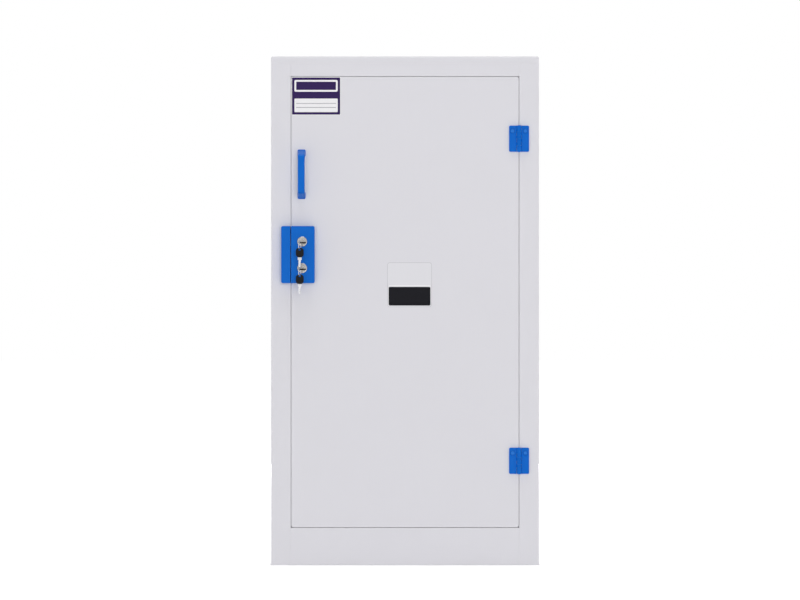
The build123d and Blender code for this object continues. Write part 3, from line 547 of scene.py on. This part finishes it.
def smooth_by_angle(mesh, degrees=35.0):
    """Smooth shading, with a hard edge where two faces meet at more than the angle."""
    shaded = bmesh.new()
    shaded.from_mesh(mesh)
    for face in shaded.faces:
        face.smooth = True
    for edge in shaded.edges:
        edge.smooth = len(edge.link_faces) == 2 and edge.calc_face_angle(0.0) < math.radians(degrees)
    shaded.to_mesh(mesh)
    shaded.free()


# ---------------------------------------------------------------- boards with softened edges
EDGE_ROUND = 0.5 * MM
SHARP_ANGLE = math.radians(60.0)
FLAT_ANGLE = math.radians(0.5)


def merged_copy(node):
    """A mesh to work on, from a node's own, with its loose triangles joined into whole faces."""
    work = bmesh.new()
    work.from_mesh(nodes[node].data)
    bmesh.ops.remove_doubles(work, verts=work.verts, dist=SAME_POINT)
    bmesh.ops.dissolve_limit(work, angle_limit=FLAT_ANGLE, verts=work.verts, edges=work.edges)
    return work


def soften(work, width):
    """Rounds the sharp edges, and leaves the broad faces flat."""
    sharp = [edge for edge in work.edges if edge.is_manifold and edge.calc_face_angle() > SHARP_ANGLE]
    bevelled = bmesh.ops.bevel(
        work, geom=sharp, offset=width, segments=3, profile=0.5, affect="EDGES", clamp_overlap=True
    )
    bmesh.ops.recalc_face_normals(work, faces=work.faces)
    for face in bevelled["faces"]:
        face.smooth = True


def finished_copy(work, node, name):
    """The finished piece that stands for a node, from its worked mesh."""
    mesh = bpy.data.meshes.new(name)
    work.to_mesh(mesh)
    work.free()
    if "custom_normal" in mesh.attributes:
        mesh.attributes.remove(mesh.attributes["custom_normal"])
    for material in nodes[node].data.materials:
        mesh.materials.append(material)
    piece = finished(name, mesh, body_of[node])
    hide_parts(node)
    return piece


def soft_board(node):
    """A board with its sharp edges softened."""
    work = merged_copy(node)
    for face in work.faces:
        face.smooth = False
    soften(work, EDGE_ROUND)
    finished_copy(work, node, f"soft_{node}")


# the fine line milled down the lock case
GROOVE_LEFT = -213.4 * MM
GROOVE_RIGHT = -212.7 * MM
GROOVE_TOP = 697.0 * MM
GROOVE_DEPTH = 0.35 * MM


def case_with_groove():
    """The lock case, with a fine milled line down its face beside the lower lock."""
    work = merged_copy("lock_case")
    face_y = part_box("lock_case")[0].y
    for point, normal in (
        ((GROOVE_LEFT, 0.0, 0.0), (1.0, 0.0, 0.0)),
        ((GROOVE_RIGHT, 0.0, 0.0), (1.0, 0.0, 0.0)),
        ((0.0, 0.0, GROOVE_TOP), (0.0, 0.0, 1.0)),
    ):
        geometry = work.verts[:] + work.edges[:] + work.faces[:]
        bmesh.ops.bisect_plane(work, geom=geometry, plane_co=point, plane_no=normal, dist=0.1 * SAME_POINT)
    strip = []
    for face in work.faces:
        middle = face.calc_center_median()
        on_face = all(abs(vert.co.y - face_y) < ON_PLANE for vert in face.verts)
        if on_face and GROOVE_LEFT < middle.x < GROOVE_RIGHT and middle.z < GROOVE_TOP:
            strip.append(face)
    sunk = bmesh.ops.extrude_face_region(work, geom=strip)
    bmesh.ops.delete(work, geom=strip, context="FACES_ONLY")
    moved = [item for item in sunk["geom"] if isinstance(item, bmesh.types.BMVert)]
    bmesh.ops.translate(work, verts=moved, vec=(0.0, GROOVE_DEPTH, 0.0))
    bmesh.ops.recalc_face_normals(work, faces=work.faces)
    case = finished_copy(work, "lock_case", "lock_case_grooved")
    smooth_by_angle(case.data, 40.0)


BOARDS = [
    "door_panel",
    "side_panel_left",
    "side_panel_right",
    "top_panel",
    "floor_panel",
    "base_bearers",
    "back_panel",
    "stile_left",
    "stile_right",
    "head_rail",
    "plinth_board",
    "door_stops_upright",
    "door_stops_level",
    "door_stiffener_latch",
    "door_stiffener_hinge",
    "door_stiffener_sill",
    "door_stiffener_head",
]
BOARDS += [name for name in nodes if name.startswith(("shelf_upright", "shelf_ledge"))]
for board in BOARDS:
    soft_board(board)
case_with_groove()

# ---------------------------------------------------------------- keys
BOW_LENGTH = 21.0 * MM
BOW_WIDTH = 18.0 * MM
BOW_CORNER = 7.5 * MM
BOW_THICKNESS = 2.6 * MM
BOW_PANEL = 2.0 * MM
BOW_BORDER = 1.7 * MM
BOW_SLOT = (13.0 * MM, 6.8 * MM)
RING_HOLE = (5.6 * MM, 3.6 * MM)
BOW_RIM = 2.0 * MM
BOW_PANEL_BEVEL = 0.3 * MM
BOW_BORDER_BEVEL = 0.45 * MM
BLADE_THICKNESS = 2.0 * MM
BLADE_HALF = 2.6 * MM
BLADE_LENGTH = 16.0 * MM
SHOULDER_HALF = 4.5 * MM
SHOULDER_LENGTH = 5.5 * MM
SHOULDER_CORNER = 0.25 * MM
TIP_HALF = 0.4 * MM
BLADE_BEVEL = 0.12 * MM
CUT_DEPTHS = (0.2 * MM, 0.9 * MM, 0.5 * MM, 1.1 * MM, 0.3 * MM, 0.8 * MM)
CUT_MOUTH = 0.42  # share of the cuts' pitch, from a cut's middle to where it opens
CUT_FLOOR = 0.16  # the same to where its floor ends


def blade_loop():
    """The blade's outline, shoulder at the top, with a row of cuts along one side."""
    tip = -SHOULDER_LENGTH - BLADE_LENGTH
    points = [
        (-SHOULDER_HALF, 0.0),
        (-SHOULDER_HALF, -SHOULDER_LENGTH + SHOULDER_CORNER),
        (-SHOULDER_HALF + SHOULDER_CORNER, -SHOULDER_LENGTH),
        (-BLADE_HALF, -SHOULDER_LENGTH),
        (-BLADE_HALF, tip + BLADE_HALF),
        (-TIP_HALF, tip),
        (TIP_HALF, tip),
        (BLADE_HALF, tip + BLADE_HALF),
    ]
    pitch = (BLADE_LENGTH - 2 * BLADE_HALF) / len(CUT_DEPTHS)
    for number, cut in enumerate(reversed(CUT_DEPTHS)):
        middle = tip + BLADE_HALF + (number + 0.5) * pitch
        for share, depth in ((-CUT_MOUTH, 0.0), (-CUT_FLOOR, cut), (CUT_FLOOR, cut), (CUT_MOUTH, 0.0)):
            points.append((BLADE_HALF - depth, middle + share * pitch))
    points += [
        (BLADE_HALF, -SHOULDER_LENGTH),
        (SHOULDER_HALF - SHOULDER_CORNER, -SHOULDER_LENGTH),
        (SHOULDER_HALF, -SHOULDER_LENGTH + SHOULDER_CORNER),
        (SHOULDER_HALF, 0.0),
    ]
    return points


def shifted(loop, x, y):
    """A loop of points, moved."""
    return [(px + x, py + y) for px, py in loop]


black_bow = black_bow_plastic()
key_steel = drawn_steel("key_blade_steel", (700.0, 700.0, 90.0), STEEL_BRIGHT, STEEL_BRIGHT, satin=0.16)


def build_key(name, place, body, node, opening):
    """A key: a steel blade with its cuts, and a black bow with a raised border and a hole for the ring."""
    slot_middle = BOW_LENGTH - BOW_RIM - opening[1] / 2
    outline = rounded_loop(BOW_WIDTH, BOW_LENGTH, BOW_CORNER, steps=10)
    outline = shifted(outline, 0.0, BOW_LENGTH / 2)
    # a hair under half the height, so that the round ends' arcs share no point
    slot = rounded_loop(*opening, opening[1] / 2 - ON_PLANE, steps=8)
    slot = shifted(slot, 0.0, slot_middle)
    inner_width = BOW_WIDTH - 2 * BOW_BORDER
    inner_length = BOW_LENGTH - 2 * BOW_BORDER
    inner = rounded_loop(inner_width, inner_length, BOW_CORNER - BOW_BORDER, steps=10)
    inner = shifted(inner, 0.0, BOW_LENGTH / 2)
    panel = shape_mesh(name + "_panel", (outline, slot), BOW_PANEL / 2, BOW_PANEL_BEVEL, place)
    border = shape_mesh(name + "_border", (outline, inner), BOW_THICKNESS / 2, BOW_BORDER_BEVEL, place)
    blade = shape_mesh(name + "_blade", (blade_loop(),), BLADE_THICKNESS / 2, BLADE_BEVEL, place)
    parts = ((panel, black_bow), (border, black_bow), (blade, key_steel))
    mesh = join_meshes(name, parts)
    smooth_by_angle(mesh)
    key = finished(name, mesh, body)
    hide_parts(node)


def framed(origin, across, along):
    """A matrix whose local X and Y run across and along, at an origin."""
    across = Vector(across).normalized()
    along = Vector(along).normalized()
    rotation = Matrix((across, along, across.cross(along))).transposed()
    return Matrix.Translation(origin) @ rotation.to_4x4()


for level in LEVELS:
    low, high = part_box(f"lock_key_{level}")
    origin = Vector(((low.x + high.x) / 2, low.y + BOW_LENGTH, (low.z + high.z) / 2))
    build_key(
        f"key_{level}",
        framed(origin, (-1.0, 0.0, 0.0), (0.0, -1.0, 0.0)),
        f"lock_plug_{level}_body",
        f"lock_key_{level}",
        BOW_SLOT,
    )
    low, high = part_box(f"spare_key_{level}")
    ring_low, ring_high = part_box(f"key_ring_{level}")
    ring_turn = math.atan2(ring_high.x - ring_low.x, ring_high.y - ring_low.y)
    across = (math.cos(ring_turn), -math.sin(ring_turn), 0.0)
    origin = Vector(((ring_low.x + ring_high.x) / 2, (ring_low.y + ring_high.y) / 2, high.z - BOW_LENGTH))
    build_key(
        f"hanging_key_{level}",
        framed(origin, across, (0.0, 0.0, 1.0)),
        f"spare_key_{level}_body",
        f"spare_key_{level}",
        RING_HOLE,
    )


# ---------------------------------------------------------------- weld beads
CARCASS_BEAD = 2.6 * MM  # each bead's radius
STOP_BEAD = 1.6 * MM
DOOR_BEAD = 1.8 * MM
BEAD_STEP = 2.4 * MM  # between the rings of a bead's mesh
BEAD_RIPPLE = 7.2 * MM  # from one ripple to the next
RIPPLE_DEPTH = 0.12  # share of the radius
RIPPLE_UNEVEN = 3.0  # swell between the ripples, against theirs of 1 either way


def build_bead_tree():
    """A hot-air weld bead along each edge of a wire mesh: a rod with ripples where it was pressed down."""
    tree = bpy.data.node_groups.new("weld_bead", "GeometryNodeTree")
    for label, kind, default in (
        ("Wire", "NodeSocketGeometry", None),
        ("Radius", "NodeSocketFloat", CARCASS_BEAD),
        ("Ripple Depth", "NodeSocketFloat", RIPPLE_DEPTH),
        ("Ripple Pitch", "NodeSocketFloat", BEAD_RIPPLE),
        ("Step", "NodeSocketFloat", BEAD_STEP),
        ("Finish", "NodeSocketMaterial", None),
    ):
        socket = tree.interface.new_socket(label, in_out="INPUT", socket_type=kind)
        if default is not None:
            socket.default_value = default
    tree.interface.new_socket("Bead", in_out="OUTPUT", socket_type="NodeSocketGeometry")
    given = tree.nodes.new("NodeGroupInput").outputs
    wanted = tree.nodes.new("NodeGroupOutput").inputs
    path = add(tree, "GeometryNodeMeshToCurve", {"Mesh": given["Wire"]}).outputs[0]
    stepped = {"Curve": path, "Length": given["Step"]}
    even = add(tree, "GeometryNodeResampleCurve", stepped, mode="LENGTH").outputs[0]
    distance = add(tree, "GeometryNodeSplineParameter").outputs["Length"]
    turns = maths(tree, "DIVIDE", distance, given["Ripple Pitch"])
    wave = maths(tree, "SINE", maths(tree, "MULTIPLY", turns, 2 * math.pi))
    uneven = add(tree, "ShaderNodeTexNoise", {"Scale": 30.0, "Detail": 2.0}).outputs[0]
    hand = maths(tree, "MULTIPLY_ADD", uneven, RIPPLE_UNEVEN, -RIPPLE_UNEVEN / 2)
    swell = maths(tree, "ADD", wave, hand)
    share = maths(tree, "MULTIPLY_ADD", swell, given["Ripple Depth"], 1.0)
    radius = maths(tree, "MULTIPLY", share, given["Radius"])
    rod = add(tree, "GeometryNodeCurvePrimitiveCircle", {"Resolution": 8, "Radius": 1.0}).outputs[0]
    swept = {"Curve": even, "Profile Curve": rod, "Scale": radius, "Fill Caps": True}
    sweep = add(tree, "GeometryNodeCurveToMesh", swept)
    shaded = add(tree, "GeometryNodeSetShadeSmooth", {"Geometry": sweep.outputs[0]}).outputs[0]
    whole = add(tree, "GeometryNodeRealizeInstances", {"Geometry": shaded}).outputs[0]
    painted = add(tree, "GeometryNodeSetMaterial", {"Geometry": whole, "Material": given["Finish"]})
    tree.links.new(painted.outputs[0], wanted["Bead"])
    return tree


def grown(name, wire, tree, **values):
    """The mesh that a geometry tree grows on a wire mesh."""
    maker = bpy.data.objects.new(name, wire)
    bpy.context.scene.collection.objects.link(maker)
    modifier = maker.modifiers.new(name, "NODES")
    modifier.node_group = tree
    for item in tree.interface.items_tree:
        label = item.name.replace(" ", "_")
        if item.in_out == "INPUT" and label in values:
            modifier[item.identifier] = values[label]
    mesh = bpy.data.meshes.new_from_object(maker.evaluated_get(bpy.context.evaluated_depsgraph_get()))
    maker.modifiers.remove(modifier)
    bpy.data.objects.remove(maker)
    mesh.name = name
    return mesh


def wire_mesh(name, runs):
    """A mesh of open or closed runs of points, without faces."""
    points = []
    edges = []
    for run, closed in runs:
        start = len(points)
        points += [tuple(point) for point in run]
        edges += [(start + number, start + number + 1) for number in range(len(run) - 1)]
        if closed:
            edges.append((start + len(run) - 1, start))
    mesh = bpy.data.meshes.new(name)
    mesh.from_pydata(points, edges, [])
    return mesh


def level_ring(x, front, back, z):
    """The corners of a level rectangle, alike on both sides of the middle."""
    return [(-x, front, z), (x, front, z), (x, back, z), (-x, back, z)]


def circle_run(centre, radius, steps=48):
    """Points round a circle that faces the front."""
    points = []
    for step in range(steps):
        angle = 2 * math.pi * step / steps
        points.append((centre.x + radius * math.cos(angle), centre.y, centre.z + radius * math.sin(angle)))
    return points


def cabinet_bead_runs():
    """Where the boards of the carcass are welded together inside."""
    sump = floor_high.z
    runs = [
        (level_ring(inner_x, frame_back, inner_back, sump), True),
        (level_ring(inner_x, frame_back, inner_back, under_top), True),
    ]
    for side in (-1, 1):
        for y in (frame_back, inner_back):
            runs.append(([(side * inner_x, y, sump), (side * inner_x, y, under_top)], False))
        for row in ("front", "rear"):
            low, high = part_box(f"shelf_upright_{'left' if side < 0 else 'right'}_{row}")
            for y in (low.y, high.y):
                runs.append(([(side * inner_x, y, low.z), (side * inner_x, y, high.z)], False))
    for level in LEVELS:
        low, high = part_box(f"vent_port_{level}")
        centre = (low + high) / 2
        centre.y = inner_back
        runs.append((circle_run(centre, (high.x - low.x) / 2), True))
    return runs


def stop_bead_runs():
    """The smaller beads along the door stops."""
    low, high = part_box("door_stops_upright")
    level_low, level_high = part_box("door_stops_level")
    runs = []
    for side in (-1, 1):
        runs.append(([(side * high.x, low.y, low.z), (side * high.x, low.y, high.z)], False))
    for z in (level_low.z, level_high.z):
        runs.append(([(level_low.x, low.y, z), (level_high.x, low.y, z)], False))
    return runs


def door_bead_runs():
    """Where the stiffening boards are welded to the back of the door."""
    y = door_high.y
    runs = []
    for node in ("door_stiffener_latch", "door_stiffener_hinge"):
        low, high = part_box(node)
        for x in (low.x, high.x):
            runs.append(([(x, y, low.z), (x, y, high.z)], False))
    for node in ("door_stiffener_sill", "door_stiffener_head"):
        low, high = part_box(node)
        for z in (low.z, high.z):
            runs.append(([(low.x, y, z), (high.x, y, z)], False))
    return runs


def bead_finish():
    """Melted rod, glossier and less even than the sheet."""
    material, tree, shader, place = blank_material("weld_bead_grey", Specular_IOR_Level=0.35, IOR=SHEET_IOR)
    glaze = noise(tree, place, scale=500.0, detail=3.0)
    smears = noise(tree, place, scale=45.0, detail=3.0)
    tree.links.new(blend_colour(tree, smears, BEAD_GREY, BEAD_PALE), shader["Base Color"])
    tree.links.new(maths(tree, "MULTIPLY_ADD", glaze, 0.25, 0.18), shader["Roughness"])
    bump(tree, shader, glaze, distance=0.08 * MM, strength=0.5)
    return material


bead_tree = build_bead_tree()
bead_melt = bead_finish()
for name, runs, radius, body in (
    ("carcass_weld_beads", cabinet_bead_runs(), CARCASS_BEAD, "cabinet"),
    ("stop_weld_beads", stop_bead_runs(), STOP_BEAD, "cabinet"),
    ("door_weld_beads", door_bead_runs(), DOOR_BEAD, "door"),
):
    bead = grown(name, wire_mesh(name + "_wire", runs), bead_tree, Radius=radius, Finish=bead_melt)
    finished(name, bead, body)


# ---------------------------------------------------------------- labels
FILM = 0.10 * MM
PRINT = 0.02 * MM
FILM_BEVEL = 0.4  # share of a film's half thickness

CARD_LEFT = 0.4 * MM  # from the door's latch edge to the upper card
CARD_DROP = 0.4 * MM  # from the door's top edge
CARD_SIZE = (108.4 * MM, 84.0 * MM)
CARD_CORNER = 2.0 * MM
CARD_EDGE = 1.2 * MM  # the white left round the purple ground
GROUND_CORNER = 1.4 * MM
CARD_MARGIN = 6.5 * MM  # from the card's edge to its heading and its field
HEADING_HEIGHT = 26.0 * MM
HEADING_LINE = 4.0 * MM
HEADING_CORNER = 3.0 * MM
FIELD_HEIGHT = 30.0 * MM
FIELD_CORNER = 2.0 * MM
RULE_HEIGHT = 0.8 * MM
RULE_INSET = 4.0 * MM  # from the field's side to a rule's end
RULE_OFFSET = 4.5 * MM  # from the field's middle to each rule

PANEL_MIDDLE = Vector((9.9 * MM, 0.0, 617.2 * MM))
PANEL_SIZE = (98.0 * MM, 98.0 * MM)
PANEL_CORNER = 6.0 * MM
PANEL_LINE = 0.8 * MM
BAND_INSET = 3.0 * MM
BAND_SHARE = 0.42  # of the panel's height
DIVIDER_HEIGHT = 2.6 * MM
DIVIDER_RISE = 2.2 * MM  # from the band's top to the divider's middle

white_vinyl = vinyl("white_vinyl", (0.86, 0.855, 0.87))
purple_vinyl = vinyl("purple_vinyl", (0.032, 0.016, 0.085))
black_vinyl = vinyl("black_vinyl", (0.007, 0.007, 0.010))
grey_vinyl = vinyl("grey_vinyl", (0.50, 0.50, 0.53))
pale_vinyl = vinyl("pale_vinyl", (0.735, 0.73, 0.765))


def flat_film(name, loops, centre, layer):
    """A flat field of a card. Layer 0 is the film on the door, and each next layer is a print before it."""
    if layer == 0:
        half = FILM / 2
        middle = door_face - half
    else:
        half = PRINT / 2
        middle = door_face - FILM - (layer - 0.5) * PRINT
    place = framed(Vector((centre[0], middle, centre[1])), (1.0, 0.0, 0.0), (0.0, 0.0, 1.0))
    return shape_mesh(name, loops, half, half * FILM_BEVEL, place)


def contents_card():
    """A purple card with a white edge, an open white frame and a white field to write on."""
    cx = door_low.x + CARD_LEFT + CARD_SIZE[0] / 2
    cz = door_high.z - CARD_DROP - CARD_SIZE[1] / 2
    width, height = CARD_SIZE
    inside = width - 2 * CARD_MARGIN
    heading_z = cz + height / 2 - CARD_MARGIN - HEADING_HEIGHT / 2
    field_z = cz - height / 2 + CARD_MARGIN + FIELD_HEIGHT / 2
    card = rounded_loop(width, height, CARD_CORNER)
    ground = rounded_loop(width - 2 * CARD_EDGE, height - 2 * CARD_EDGE, GROUND_CORNER)
    heading = rounded_loop(inside, HEADING_HEIGHT, HEADING_CORNER)
    hole_size = (inside - 2 * HEADING_LINE, HEADING_HEIGHT - 2 * HEADING_LINE)
    heading_hole = rounded_loop(*hole_size, 1.0 * MM)
    field = rounded_loop(inside, FIELD_HEIGHT, FIELD_CORNER)
    rule = rounded_loop(inside - 2 * RULE_INSET, RULE_HEIGHT, 0.3 * MM, steps=2)
    parts = [
        (flat_film("card_film", (card,), (cx, cz), 0), white_vinyl),
        (flat_film("card_ground", (ground,), (cx, cz), 1), purple_vinyl),
        (flat_film("card_heading", (heading, heading_hole), (cx, heading_z), 2), white_vinyl),
        (flat_film("card_field", (field,), (cx, field_z), 2), white_vinyl),
    ]
    for rule_z in (field_z - RULE_OFFSET, field_z + RULE_OFFSET):
        parts.append((flat_film("card_rule", (rule,), (cx, rule_z), 3), purple_vinyl))
    return join_meshes("contents_card", parts)


def storage_panel():
    """A pale square card with a thin grey line round it and a black band across its lower part."""
    cx, cz = PANEL_MIDDLE.x, PANEL_MIDDLE.z
    width, height = PANEL_SIZE
    band_width = width - 2 * BAND_INSET
    band_height = BAND_SHARE * height
    band_z = cz - height / 2 + BAND_INSET + band_height / 2
    divider_z = band_z + band_height / 2 + DIVIDER_RISE
    outer = rounded_loop(width, height, PANEL_CORNER)
    inner = rounded_loop(width - 2 * PANEL_LINE, height - 2 * PANEL_LINE, PANEL_CORNER - PANEL_LINE)
    band = rounded_loop(band_width, band_height, 3.0 * MM)
    divider = rounded_loop(band_width, DIVIDER_HEIGHT, 0.8 * MM, steps=2)
    parts = [
        (flat_film("panel_film", (outer,), (cx, cz), 0), pale_vinyl),
        (flat_film("panel_line", (outer, inner), (cx, cz), 1), grey_vinyl),
        (flat_film("panel_band", (band,), (cx, band_z), 1), black_vinyl),
        (flat_film("panel_divider", (divider,), (cx, divider_z), 1), white_vinyl),
    ]
    return join_meshes("storage_panel", parts)


finished("contents_card", contents_card(), "door")
finished("storage_card", storage_panel(), "door")


# ---------------------------------------------------------------- camera, floor and light
PHOTO_WIDTH = 800
SENSOR = 36.0
METRES_PER_PIXEL = 2.202 * MM
CAMERA_AWAY = 9.0
AIM = Vector((-11.1 * MM, 0.0, 583.5 * MM))  # what the photograph's middle shows

WORLD_LIGHT = 0.40
FLOOR_HALF = 30.0
FLOOR_COLOUR = (0.85, 0.85, 0.85, 1.0)
FLOOR_GLOW = 0.68
CONTACT_SHADE = 0.055
SHADE_FALL = (9.0, 1.0, 0.0)  # beside the cabinet the shade is narrower than in front and behind
WHITE = (1.0, 1.0, 1.0, 1.0)
LAMP_AIM = Vector((0.0, 0.0, cabinet_high.z / 2))


def build_camera():
    """A long lens, level with the middle of the photograph and square to the door."""
    data = bpy.data.cameras.new("camera")
    data.sensor_width = SENSOR
    data.lens = SENSOR * CAMERA_AWAY / (PHOTO_WIDTH * METRES_PER_PIXEL)
    data.clip_end = 100.0
    camera = bpy.data.objects.new("camera", data)
    camera.location = (AIM.x, door_face - CAMERA_AWAY, AIM.z)
    camera.rotation_euler = (math.pi / 2, 0.0, 0.0)
    bpy.context.scene.collection.objects.link(camera)
    bpy.context.scene.camera = camera


def seen_directly(tree):
    """1 for the rays that show the background: from the camera, a reflection or a clear body."""
    rays = add(tree, "ShaderNodeLightPath").outputs
    shown = maths(tree, "MAXIMUM", rays["Is Camera Ray"], rays["Is Glossy Ray"])
    return maths(tree, "MAXIMUM", shown, rays["Is Transmission Ray"])


def build_world():
    """A soft even light from all round, and white where the background is seen."""
    world = bpy.data.worlds.new("studio")
    world.use_nodes = True
    tree = world.node_tree
    tree.nodes.clear()
    lit = add(tree, "ShaderNodeBackground", {"Color": WHITE, "Strength": WORLD_LIGHT})
    shown = add(tree, "ShaderNodeBackground", {"Color": WHITE, "Strength": 1.0})
    either = {0: seen_directly(tree), 1: lit.outputs[0], 2: shown.outputs[0]}
    mixed = add(tree, "ShaderNodeMixShader", either)
    add(tree, "ShaderNodeOutputWorld", {"Surface": mixed.outputs[0]})
    bpy.context.scene.world = world


def build_floor():
    """A plain white floor that keeps the cabinet's shadow, with a painted contact shadow where its glow
    fades out round the cabinet's footprint.
    """
    mesh = bpy.data.meshes.new("floor")
    corners = [(FLOOR_HALF * sx, FLOOR_HALF * sy, 0.0) for sx, sy in ((-1, -1), (1, -1), (1, 1), (-1, 1))]
    mesh.from_pydata(corners, [], [(0, 1, 2, 3)])
    floor = bpy.data.objects.new("floor", mesh)
    bpy.context.scene.collection.objects.link(floor)
    material = bpy.data.materials.new("floor_white")
    material.use_nodes = True
    tree = material.node_tree
    tree.nodes.clear()
    matt = add(tree, "ShaderNodeBsdfDiffuse", {"Color": FLOOR_COLOUR})
    place = add(tree, "ShaderNodeTexCoord").outputs["Object"]
    footprint = (cabinet_high.x, (back_high.y - frame_front) / 2, 0.0)
    past = vector_maths(tree, "SUBTRACT", vector_maths(tree, "ABSOLUTE", place), footprint)
    outside = vector_maths(tree, "MAXIMUM", past, (0.0, 0.0, 0.0))
    away = vector_maths(tree, "LENGTH", vector_maths(tree, "MULTIPLY", outside, SHADE_FALL))
    # painted contact shadow: the floor's glow is taken away near the cabinet's footprint, whatever the light
    clear = spread(tree, away, 0.0, CONTACT_SHADE)
    glow = maths(tree, "MULTIPLY", maths(tree, "MULTIPLY", seen_directly(tree), clear), FLOOR_GLOW)
    lift = add(tree, "ShaderNodeEmission", {"Color": WHITE, "Strength": glow})
    both = add(tree, "ShaderNodeAddShader", {0: matt.outputs[0], 1: lift.outputs[0]})
    add(tree, "ShaderNodeOutputMaterial", {"Surface": both.outputs[0]})
    mesh.materials.append(material)


def soft_box(name, place, size, power, mirrored):
    """A square studio light that faces the cabinet's middle. An unmirrored one shows in no reflection."""
    data = bpy.data.lights.new(name, "AREA")
    data.shape = "SQUARE"
    data.size = size
    data.energy = power
    lamp = bpy.data.objects.new(name, data)
    lamp.location = place
    lamp.visible_glossy = mirrored
    lamp.rotation_euler = (LAMP_AIM - Vector(place)).to_track_quat("-Z", "Y").to_euler()
    bpy.context.scene.collection.objects.link(lamp)


build_camera()
build_world()
build_floor()
for name, place, size, power, mirrored in (
    ("key_light", (0.7, -5.6, 1.3), 1.8, 76.0, False),
    ("fill_light", (-0.9, -5.4, 0.1), 2.4, 76.0, False),
    ("top_light", (0.0, -0.9, 4.4), 2.0, 48.0, True),
    ("left_light", (-4.6, 1.2, 1.2), 2.4, 74.0, False),
    ("right_light", (4.6, 1.2, 1.2), 2.4, 80.0, False),
    ("back_light", (0.0, 5.2, 1.2), 2.4, 84.0, False),
):
    soft_box(name, place, size, power, mirrored)
bpy.context.scene.view_settings.view_transform = "Standard"
